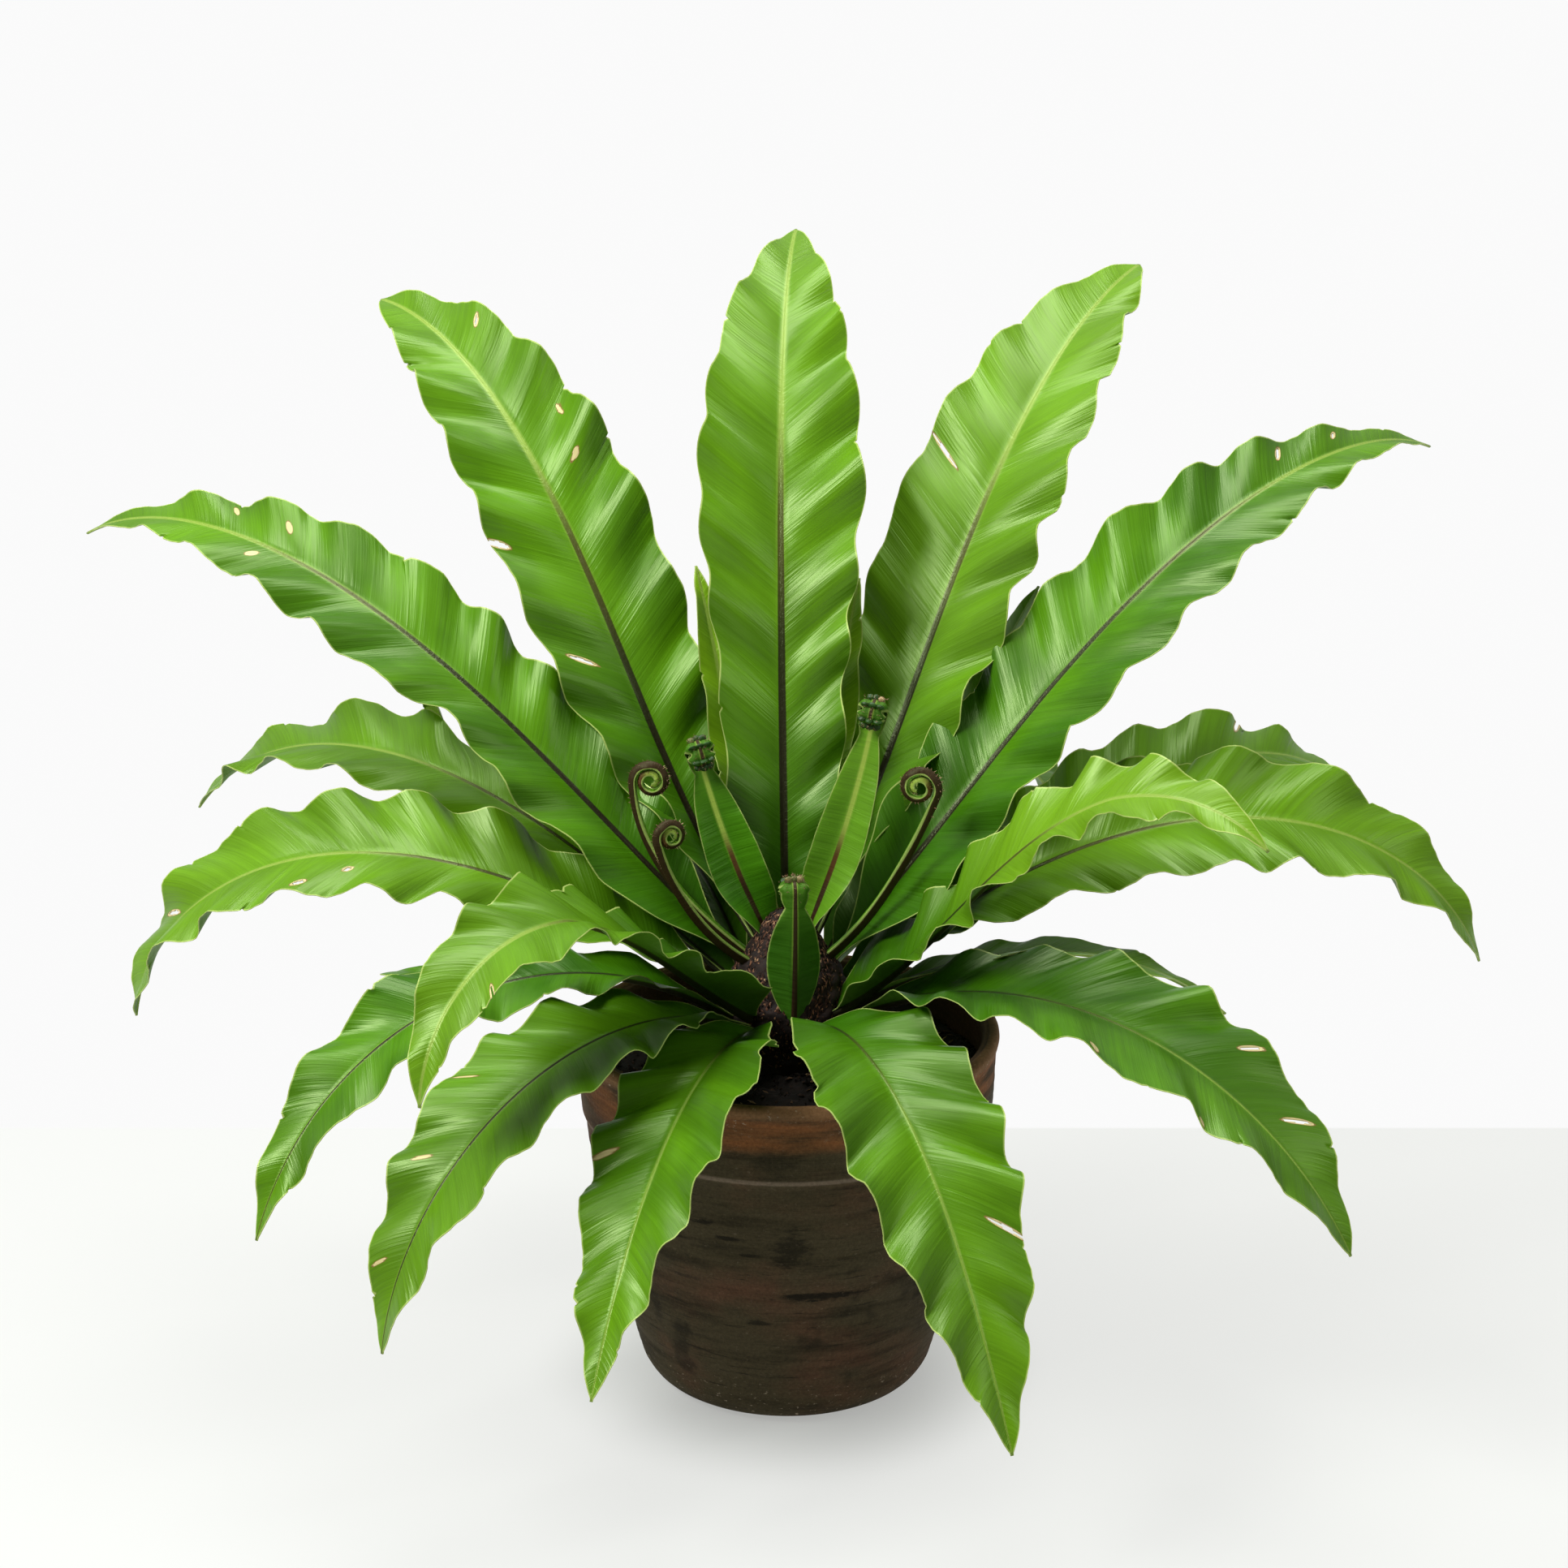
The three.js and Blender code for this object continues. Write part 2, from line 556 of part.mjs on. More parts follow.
const fronds = FRONDS.map((frond, i) => makeFrond(frond, i));
const young = YOUNG.map((frond) => makeYoung(frond));
const sockets = FRONDS.map((frond, i) => makeFrond(frond, i, SOCKET_GAP));
for (const frond of YOUNG) sockets.push(makeYoung(frond, SOCKET_GAP));

addPiece('pot', makePot(), 0x3a2a22, 0.9);
addPiece('soil', makeSoil(makeCrownHole()), 0x1c1613, 1);
addPiece('crown', makeCrown(sockets), 0x3b2618, 0.95);
fronds.forEach((solid, i) => {
  addPiece(`frond_${String(i + 1).padStart(2, '0')}`, solid, 0x4f9a24, 0.4);
});

young.forEach((solid, i) => {
  addPiece(`young_frond_${i + 1}`, solid, 0x6d8f35, 0.6);
});

export default group;
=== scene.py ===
import math

import bmesh
import bpy
import numpy as np
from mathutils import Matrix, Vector


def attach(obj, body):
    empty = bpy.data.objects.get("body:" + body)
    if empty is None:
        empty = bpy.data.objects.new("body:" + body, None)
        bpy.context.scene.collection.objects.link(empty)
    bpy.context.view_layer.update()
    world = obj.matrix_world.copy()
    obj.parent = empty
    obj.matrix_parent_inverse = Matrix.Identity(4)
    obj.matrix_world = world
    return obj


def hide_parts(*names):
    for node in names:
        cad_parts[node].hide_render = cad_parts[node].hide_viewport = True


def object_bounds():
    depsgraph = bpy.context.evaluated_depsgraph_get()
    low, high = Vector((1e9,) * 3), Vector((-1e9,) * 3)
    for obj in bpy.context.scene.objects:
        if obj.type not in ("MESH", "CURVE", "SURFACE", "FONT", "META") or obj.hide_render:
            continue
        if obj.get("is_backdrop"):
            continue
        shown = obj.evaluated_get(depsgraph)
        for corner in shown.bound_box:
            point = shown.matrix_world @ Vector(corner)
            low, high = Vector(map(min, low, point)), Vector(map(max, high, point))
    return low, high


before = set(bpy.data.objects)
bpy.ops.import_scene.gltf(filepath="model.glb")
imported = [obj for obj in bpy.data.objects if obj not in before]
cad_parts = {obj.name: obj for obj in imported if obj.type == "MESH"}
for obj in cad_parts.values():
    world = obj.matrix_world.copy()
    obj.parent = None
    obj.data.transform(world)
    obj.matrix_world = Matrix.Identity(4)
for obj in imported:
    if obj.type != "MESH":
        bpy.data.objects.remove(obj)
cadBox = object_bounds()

mm = 0.001
fullTurn = 2 * math.pi
print("fern scene: frame loaded, nodes", len(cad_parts))

# Shader helpers: each adds to the node tree that was opened last
opened = {}


def openTree(tree):
    tree.nodes.clear()
    opened["tree"] = tree


def newMaterial(name):
    material = bpy.data.materials.new(name)
    material.use_nodes = True
    openTree(material.node_tree)
    return material


# An input may be a number, a colour, a socket, or a node whose first output is meant
def addNode(kind, inputs=None, **settings):
    tree = opened["tree"]
    made = tree.nodes.new("ShaderNode" + kind)
    for key, value in settings.items():
        setattr(made, key, value)
    for key, value in (inputs or {}).items():
        socket = made.inputs[key]
        if isinstance(value, bpy.types.Node):
            value = value.outputs[0]
        if isinstance(value, bpy.types.NodeSocket):
            tree.links.new(value, socket)
        else:
            socket.default_value = (*value, 1) if socket.type == "RGBA" else value
    return made


def calc(operation, a, b=0.0, c=0.0):
    return addNode("Math", {0: a, 1: b, 2: c}, operation=operation)


def times(a, b):
    return calc("MULTIPLY", a, b)


def plus(a, b):
    return calc("ADD", a, b)


def scaled(value, by, start):
    return calc("MULTIPLY_ADD", value, by, start)


def fade(value, low, high):
    return addNode("MapRange", {"Value": value, "From Min": low, "From Max": high},
                   interpolation_type="SMOOTHSTEP")


def blend(factor, a, b, how="MIX"):
    return addNode("Mix", {0: factor, 6: a, 7: b}, data_type="RGBA", blend_type=how).outputs[2]


def colourRamp(value, stops):
    made = addNode("ValToRGB", {"Fac": value})
    elements = made.color_ramp.elements
    while len(elements) < len(stops):
        elements.new(0.5)
    for element, (position, colour) in zip(elements, stops):
        element.position = position
        element.color = (*colour, 1)
    return made


def noise(place, stretch, scale=1.0, detail=3.0, rough=0.5):
    spread = addNode("VectorMath", {0: place, 1: stretch}, operation="MULTIPLY")
    return addNode("TexNoise", {"Vector": spread, "Scale": scale, "Detail": detail, "Roughness": rough})


def vectorOf(name):
    return addNode("Attribute", attribute_name=name).outputs["Vector"]


def partsOf(vector):
    return addNode("SeparateXYZ", {0: vector}).outputs


# Number helpers
def ease(x, low, high):
    t = np.clip((x - low) / (high - low), 0, 1)
    return t * t * (3 - 2 * t)


def unit(v, least=0.0):
    return v / (np.linalg.norm(v, axis=-1, keepdims=True) + least)


def triple(a, b, c):
    return np.stack(np.broadcast_arrays(a, b, c), -1)


def onCircle(r, angle, z):
    return triple(r * np.cos(angle), r * np.sin(angle), z)


# A smooth random curve: a sum of sines, each faster and weaker than the one before
def wanderer(rng, slowest=1.0, terms=4):
    rates = slowest * (1 + np.arange(terms) * 0.83 + rng.uniform(0, 0.4, terms))
    turns = rng.uniform(0, fullTurn, terms)
    sizes = 1 / (1 + 0.5 * np.arange(terms))
    sizes /= np.sqrt((sizes**2).sum() / 2)
    return lambda x: sum(a * np.sin(fullTurn * r * x + t) for a, r, t in zip(sizes, rates, turns)) * 0.6


# Mesh helpers: points are in millimetres
def makeMesh(name, points, faces):
    mesh = bpy.data.meshes.new(name)
    faces = faces if isinstance(faces, list) else faces.tolist()
    mesh.from_pydata((np.reshape(points, (-1, 3)) * mm).tolist(), [], faces)
    return mesh


def addObject(name, data):
    made = bpy.data.objects.new(name, data)
    bpy.context.scene.collection.objects.link(made)
    return made


# sharp holds a number for each point: an edge is sharp where both its ends have the same one, above 0
def makePiece(name, points, faces, material, replaces=(), smooth=True, vectors=None, sharp=None):
    mesh = makeMesh(name, points, faces)
    mesh.materials.append(material)
    mesh.polygons.foreach_set("use_smooth", [smooth] * len(mesh.polygons))
    for key, values in (vectors or {}).items():
        layer = mesh.attributes.new(key, "FLOAT_VECTOR", "POINT")
        layer.data.foreach_set("vector", np.asarray(values, dtype=np.float32).ravel())
    if sharp is not None:
        ends = np.empty(len(mesh.edges) * 2, dtype=np.int32)
        mesh.edges.foreach_get("vertices", ends)
        first, second = sharp[ends[::2]], sharp[ends[1::2]]
        layer = mesh.attributes.new("sharp_edge", "BOOLEAN", "EDGE")
        layer.data.foreach_set("value", (first > 0) & (first == second))
    mesh.update()
    made = addObject(name, mesh)
    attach(made, "root")
    if replaces:
        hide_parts(*replaces)
    return made


# Turns all faces of a closed piece round where its volume comes out below 0
def turnOutward(made):
    work = bmesh.new()
    work.from_mesh(made.data)
    if work.calc_volume(signed=True) < 0:
        bmesh.ops.reverse_faces(work, faces=work.faces)
    work.to_mesh(made.data)
    work.free()


# Rings of points joined to a tube, still open at both ends
def tubeFaces(rings, sides):
    number = np.arange(rings * sides).reshape(rings, sides)
    after = np.roll(number, -1, 1)
    faces = np.stack([number[:-1], after[:-1], after[1:], number[1:]], -1).reshape(-1, 4)
    return number, after, faces.tolist()


def cappedTube(rings, sides):
    number, after, faces = tubeFaces(rings, sides)
    return faces + [number[0, ::-1].tolist(), number[-1].tolist()]


# A sheet of two layers with its rims: keep says which cells of the grid there are, start at which corner
# their quads begin, which settles how they are split
def sheetFaces(keep, start):
    rows, columns = np.add(keep.shape, 1)
    count = rows * columns
    number = np.arange(count).reshape(rows, columns)
    a, b, c, d = number[:-1, :-1], number[1:, :-1], number[1:, 1:], number[:-1, 1:]
    upper = np.roll(np.stack([a, b, c, d], -1), -start, -1)[keep]
    faces = [upper, upper[:, ::-1] + count]
    around = np.pad(keep, 1)
    for p, q, beyond in ((b, c, around[2:, 1:-1]), (c, d, around[1:-1, 2:]), (d, a, around[:-2, 1:-1]),
                         (a, b, around[1:-1, :-2])):
        bare = keep & ~beyond
        faces.append(np.stack([q[bare], p[bare], p[bare] + count, q[bare] + count], -1))
    return np.concatenate(faces)


# Camera, light and floor
studio = {
    "cameraPlace": (-0.0015, -1.4289, 0.7484), "cameraTilt": 72.3, "lens": 75, "sensor": 36,
    # place, aim, size in metres, watts
    "softboxes": {
        "key_left": ((-1.1, -0.75, 1.55), (0, 0, 0.3), (0.7, 0.6), 38),
        "fill_right": ((1.3, -0.6, 1.2), (0, 0, 0.3), (0.6, 0.8), 5),
        "top": ((-0.1, 0.25, 1.75), (0, 0, 0.2), (1.0, 0.8), 24),
    },
    "skyInFront": 0.12, "skyBehind": 0.5, "skyTurn": (-0.3, 0.6), "skyColour": (0.98, 0.99, 1),
    "skyToCamera": 0.96,
    # the floor glows evenly far from the pot and less close to it, which paints a shadow round the pot's
    # foot: glow share near and far, then the distances from the middle in metres over which it changes
    "floorColour": (0.6, 0.62, 0.58), "floorGlowWithPaintedShadow": (0.4, 0.75), "paintedShadowReach": (0.06, 0.13),
    "floorGlowColour": (0.96, 0.965, 0.945),
    "wallBrightness": 0.96,
    "tableEdge": 0.275, "edgeSoft": 0.002,
    "floorHalf": 9000, "floorFar": 60000,  # millimetres
}
white = (1, 1, 1)


def makeStudio(look):
    scene = bpy.context.scene
    camera = addObject("camera", bpy.data.cameras.new("camera"))
    camera.data.lens = look["lens"]
    camera.data.sensor_width = look["sensor"]
    camera.location = look["cameraPlace"]
    camera.rotation_euler = (math.radians(look["cameraTilt"]), 0, 0)
    scene.camera = camera
    scene.view_settings.view_transform = "Standard"

    for name, (place, aim, size, power) in look["softboxes"].items():
        data = bpy.data.lights.new(name, "AREA")
        data.shape = "RECTANGLE"
        data.size, data.size_y = size
        data.energy = power
        lamp = addObject(name, data)
        lamp.location = place
        lamp.rotation_euler = (Vector(aim) - Vector(place)).to_track_quat("-Z", "Y").to_euler()

    scene.world = bpy.data.worlds.new("studio")
    scene.world.use_nodes = True
    openTree(scene.world.node_tree)
    way = partsOf(addNode("TexCoord").outputs["Generated"])
    front, behind = look["skyInFront"], look["skyBehind"]
    strength = scaled(fade(way[1], *look["skyTurn"]), behind - front, front)
    seen = addNode("Background", {"Color": white, "Strength": look["skyToCamera"]})
    felt = addNode("Background", {"Color": look["skyColour"], "Strength": strength})
    path = addNode("LightPath")
    both = addNode("MixShader", {0: path.outputs["Is Camera Ray"], 1: felt, 2: seen})
    addNode("OutputWorld", {"Surface": both})

    material = newMaterial("floor_paint")
    place = addNode("TexCoord").outputs["Object"]
    far = fade(partsOf(place)[1], look["tableEdge"] - look["edgeSoft"], look["tableEdge"] + look["edgeSoft"])
    grain = noise(place, (1, 1, 1), 60)
    rough = scaled(grain, 0.1, 0.4)
    paint = addNode("BsdfPrincipled", {"Base Color": look["floorColour"], "Roughness": rough})
    glow = addNode("Emission", {"Color": look["floorGlowColour"]})
    # painted shadow: the glow's share grows with distance from the pot's middle, so the floor is darker round
    # the pot's foot
    reach = addNode("VectorMath", {0: place}, operation="LENGTH").outputs["Value"]
    least, most = look["floorGlowWithPaintedShadow"]
    share = scaled(fade(reach, *look["paintedShadowReach"]), most - least, least)
    table = addNode("MixShader", {0: share, 1: paint, 2: glow})
    wall = addNode("Emission", {"Color": white, "Strength": look["wallBrightness"]})
    addNode("OutputMaterial", {"Surface": addNode("MixShader", {0: far, 1: table, 2: wall})})
    half, end = look["floorHalf"], look["floorFar"]
    corners = [(-half, -half, 0), (half, -half, 0), (half, end, 0), (-half, end, 0)]
    mesh = makeMesh("floor", corners, [(0, 1, 2, 3)])
    mesh.materials.append(material)
    addObject("floor", mesh)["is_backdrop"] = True


makeStudio(studio)
print("fern scene: studio made")

# Fronds: the same measures as the frame's solids, in millimetres and degrees
tiers = {"low": (24, 178), "outer": (20, 186), "middle": (14.5, 197), "inner": (11, 203), "heart": (6, 206),
         "front": (29, 184)}
blades = {"full": (0.52, 0.4, 0.8), "arch": (0.45, 0.42, 0.85), "lance": (0.53, 0.55, 0.85),
          "spoon": (0.55, 0.5, 0.7), "broad": (0.45, 0.3, 0.85), "drawn": (0.48, 0.55, 1.1),
          "strap": (0.5, 0.35, 0.7)}
leastHalf = (2.7, 0.7)  # of a blade, at the foot and at the tip
frondFields = ("az", "swing", "long", "rise", "middle", "droop", "wide", "waves", "wave", "roll", "tier",
               "blade", "neck", "tone")
frondRows = [
    (94, -10, 395, 77, 83, 11, 80, 10, 4, 0, "inner", "full", 0.2, 0.26),
    (140, -13, 412, 44, 89, 0, 78, 10, 4.5, -25, "inner", "spoon", 0.2, 0.15),
    (46.6, 11, 414, 50, 80, 10, 83, 10, 4.5, 6, "inner", "spoon", 0.22, 0.35),
    (168, -29, 440, 42, 59, -26, 68, 11, 5.5, -28, "middle", "drawn", 0.2, 0.1),
    (12, 36, 443, 47, 67, -20, 73, 11, 5.5, 20.1, "middle", "drawn", 0.18, 0.05),
    (157, -9, 352, 34.5, 41, -52, 64, 8, 4.5, -17, "outer", "lance", 0.2, 0.3),
    (186, -17, 346, 34, 39, -82, 70, 9, 4.5, -22, "outer", "spoon", 0.2, 0.35),
    (26, 11, 340, 19, 51, -45, 60, 9, 4.5, 25, "outer", "lance", 0.2, 0.3),
    (359.8, 3, 358, 38.8, 36.8, -69, 70, 9, 4.5, 32, "outer", "lance", 0.2, 0.35),
    (334, -14, 268, 25, 86, -38, 58, 8, 4, 25, "middle", "broad", 0.2, 0.55),
    (229, 5, 272, 24, 66, -86, 62, 8, 4, -10, "middle", "broad", 0.2, 0.3),
    (207.6, 16, 297, 40.3, -2, -70, 50, 7, 4.5, -15.1, "low", "lance", 0.28, 0.0),
    (231.2, -10, 290, 31, -5, -82, 64, 8, 4, -3.7, "low", "lance", 0.3, 0.2),
    (249.8, 0, 250, 28.1, -34, -58, 63.9, 7, 4, 11, "low", "arch", 0.28, 0.15),
    (290.8, 4, 277, 35, -49, -59, 76, 8, 4, 0, "low", "arch", 0.26, 0.2),
    (323.5, 4, 307, 35.5, -2, -61, 80, 8, 4.5, 6, "low", "lance", 0.28, 0.05),
    (346, 3, 200, 36, 20, -40, 27.7, 6, 3, -5.1, "outer", "lance", 0.28, 0.3),
    (117, 0, 195, 65, 71, 60, 24, 5, 2, 0, "middle", "strap", 0.18, 0.8),
    (68, 0, 188, 66.1, 71, 60, 24, 5, 2, 0, "middle", "strap", 0.18, 0.8),
    (41, 4, 225, 46, 57, 46, 44, 6, 3, -10, "outer", "lance", 0.18, 0.45),
    (136, 12, 245, 55.3, 58, -60, 44.9, 6, 3.5, 0, "outer", "lance", 0.18, 0.4),
    (58, 4, 300, 36, 25, -55, 60, 8, 4.5, 0, "outer", "lance", 0.2, 0.2),
    (90, -4, 310, 38, 22, -60, 62, 8, 4.5, 0, "outer", "lance", 0.24, 0.2),
    (120, 5, 290, 32, 20, -50, 60, 8, 4.5, 0, "outer", "lance", 0.18, 0.2),
]
frondLook = {
    "rowsPerWave": 17, "lanes": 12, "leastRow": 0.22, "leastLane": 0.35,
    "thick": 0.6, "edgeThick": 0.36,
    "slant": 34,  # degrees that the veins lean towards the tip
    "foldAll": 12, "foldFoot": 30, "foldReach": 0.35, "footRollReach": (0.06, 0.42),
    "waveStart": (0.06, 0.3), "waveWander": 0.36, "phaseWander": 0.8,
    "otherHand": 0.37,  # how far the waves of the two margins are out of step
    "ripple": 0.14,  # small ripples along the margin, as a share of the waves
    "lobes": 0.045,
    "vault": 0.5,
    "ribHalf": {"low": 1.2, "outer": 1.6, "middle": 2.0, "inner": 2.5},
    "crest": 0.6, "crestFoot": 0.8, "crestFootReach": 0.12, "keel": 2.3,  # the midrib above and below
    "ribFade": (0.15, 0.5),  # in most tiers, and in the low one
    # small random nicks in each margin
    "notches": 2, "nickPlace": (0.2, 0.93), "nickDepth": (0.7, 2.2), "nickLength": (1.2, 2.6),
    "hurtRim": 0.7,  # millimetres of discoloured blade round a hole
    "halvesApart": 60,  # keeps the vein pattern of the two halves unlike
}
# Waves that are deeper or shallower than in the CAD
waveSizes = {1: 1.3, 2: 1.15, 3: 1.2, 4: 0.8, 5: 0.78, 10: 1.1, 13: 0.85, 14: 1.1, 15: 1.2, 16: 0.8, 17: 0.4}
# Halves whose margin is calmer than the other's, as frond and half
halfWaves = {(1, 1): 0.8, (3, 1): 0.5}
# Where the midrib turns from brown to pale, for each tier
ribTurns = {"low": 0.3, "outer": 0.46, "middle": 0.5, "inner": 0.52}
ownRibTurns = {4: 0.62, 5: 0.62, 12: 1.0, 13: 1.05, 14: 0.22, 16: 0.5}
# Where the painted shade at the foot begins to lighten, where that isn't at 0.04
paintedShadeStarts = {10: 0.16, 11: 0.14, 15: 0.08, 16: 0.1, 18: -0.3, 19: -0.3}
# Extra nicks per frond: place along it, depth, length, half (1 is the left one seen from the foot)
footNicks = {
    14: [(0.1, 2.5, 3.0, 1), (0.17, 3.0, 3.5, 1), (0.25, 2.5, 3.5, 1)],
    15: [(0.12, 2.5, 3.0, -1), (0.2, 3.0, 3.5, -1), (0.28, 2.2, 3.5, -1)],
}
# Places where a half is wider, or narrower where the millimetres are below 0: half, place along it, reach
# along it, millimetres
flares = {
    1: [(1, 0.34, 0.26, -7), (-1, 0.34, 0.26, -7)],
    4: [(1, 0.12, 0.12, 11), (1, 0.42, 0.1, -10)],
    5: [(-1, 0.12, 0.12, 11)],
    6: [(-1, 0.1, 0.1, 13), (-1, 0.54, 0.075, -11)],
    7: [(1, 0.12, 0.1, 4)],
    8: [(1, 0.1, 0.1, 10)],
    10: [(1, 0.115, 0.14, 23), (-1, 0.14, 0.12, 4)],
    11: [(1, 0.16, 0.14, 10), (-1, 0.13, 0.12, 12)],
    12: [(1, 0.15, 0.12, 4)],
    13: [(1, 0.3, 0.3, 3)],
    20: [(-1, 0.12, 0.12, 11)],
}
# Feet that sit lower in the crown: reach along the frond, then millimetres at the foot
footShifts = {10: (0.7, (2, -9, -15)), 11: (0.55, (0, -4, -18)), 17: (6, (0, 0, -8))}
# Extra turn of the foot about the midrib, degrees
footRolls = {4: -34, 5: 38, 7: -18, 9: 10}
# Old damage, per frond: place along it (0 foot, 1 tip), millimetres from the midrib (plus is the left
# half seen from the foot), half length along the frond, half length along the veins, kind
frondMarks = {
    2: [(0.507, 36, 1.7, 4.5, "hole"), (0.367, 21.5, 1.3, 5.5, "hole"), (0.648, -24.8, 3.0, 0.6, "spot"),
        (0.6, -19, 1.0, 1.6, "spot"), (0.813, -16.7, 0.8, 1.8, "hole")],
    3: [(0.573, 30, 0.75, 9.5, "hole")],
    4: [(0.758, -14, 1.0, 1.6, "spot"), (0.709, 8.3, 1.2, 1.8, "spot"), (0.685, -13, 1.1, 1.8, "spot")],
    5: [(0.742, 13.5, 1.2, 3.0, "hole"), (0.824, 8.9, 1.0, 1.2, "hole")],
    7: [(0.83, -9.3, 1.4, 4.5, "hole"), (0.578, 28.4, 1.8, 1.9, "hole"), (0.548, 15.2, 1.3, 1.4, "hole")],
    8: [(0.73, 19, 1.6, 3.6, "hole")],
    11: [(0.746, 17, 0.8, 4.0, "hole")],
    13: [(0.517, -26, 0.4, 4.5, "streak"), (0.683, -14, 0.35, 3.0, "streak"),
         (0.846, -10, 0.35, 2.0, "streak")],
    14: [(0.5, -24, 0.45, 4.5, "streak")],
    15: [(0.602, 24, 1.1, 7.0, "hole")],
    16: [(0.775, 14.6, 1.1, 4.8, "hole"), (0.633, 25.8, 0.9, 3.6, "hole"), (0.475, -33, 1.5, 1.5, "spot"),
         (0.654, -29, 1.0, 1.0, "spot")],
}


markStrength = {"hole": 1.0, "spot": 0.9, "streak": 0.62}


def rollFrame(side, face, angle):
    turn, lean = np.cos(angle)[:, None], np.sin(angle)[:, None]
    return side * turn + face * lean, face * turn - side * lean


def runMidrib(f, steps=720):
    footR, footZ = tiers[f["tier"]]
    az = math.radians(f["az"])

    def way(u):
        bend = np.radians((1 - u) ** 2 * f["rise"] + 2 * u * (1 - u) * f["middle"] + u * u * f["droop"])
        heading = az + math.radians(f["swing"]) * u**1.5
        return onCircle(np.cos(bend), heading, np.sin(bend)), heading

    u = np.linspace(0, 1, steps + 1)
    between = way((u[1:] + u[:-1]) / 2)[0] * f["long"] / steps
    foot = onCircle(footR, az, footZ)[None]
    along, heading = way(u)
    side = triple(-np.sin(heading), np.cos(heading), 0)
    side, face = rollFrame(side, np.cross(along, side), np.radians(f["roll"]) * ease(u, 0, 0.45))
    place = np.vstack([foot, foot + np.cumsum(between, 0)])
    return {"u": u, "place": place, "along": along, "side": side, "face": face}


def readMidrib(rib, u):
    return [np.stack([np.interp(u, rib["u"], rib[key][:, k]) for k in range(3)], -1)
            for key in ("place", "side", "face")]


def halfWidth(f, u):
    peak, belly, point = blades[f["blade"]]
    bend = math.log(0.5) / math.log(peak)
    arch = np.maximum(np.sin(math.pi * np.clip(u, 0, 1) ** bend), 0)
    swell = np.where(u < peak, arch**belly, arch**point)
    foot, tip = leastHalf
    return np.maximum(foot * (1 - u) + tip * u, ease(u, 0, f["neck"]) * swell * f["wide"] / 2)


# Sorted places, without those that come less than a least distance after the one before
def spaced(places, lowest, scale, least):
    x = np.unique(np.clip(np.concatenate(places), lowest, 1))
    keep = np.concatenate([[True], np.diff(x) * scale > least])
    keep[-1] = True
    return x[keep]


def rowPlaces(f, look, marks, nicks):
    places = [np.linspace(0, 1, int(round(f["waves"] * look["rowsPerWave"])) + 1)]
    for at, across, tall, broad, kind in marks:
        reach = (tall + 1.0) / f["long"]
        places.append(np.linspace(at - reach, at + reach, int(2 + (tall + 1.0) * 2.8)))
    for side in nicks.values():
        for at, depth, width in side:
            places.append(at + np.array([-1, -0.12, 0.12, 0.55]) * width / f["long"])
    return spaced(places, 0, f["long"], look["leastRow"])


def lanePlaces(f, look, marks, hand):
    lanes = [np.linspace(0, 1, look["lanes"] + 1)[1:]]
    for at, across, tall, broad, kind in marks:
        if across * hand > 0:
            half = float(halfWidth(f, np.array([at]))[0])
            mid, reach = abs(across) / half, (broad + 1.0) / half
            lanes.append(np.linspace(mid - reach, mid + reach, int(2 + (broad + 1) * 1.8)))
    return list(spaced(lanes, 0.04, f["wide"] / 2, look["leastLane"]))


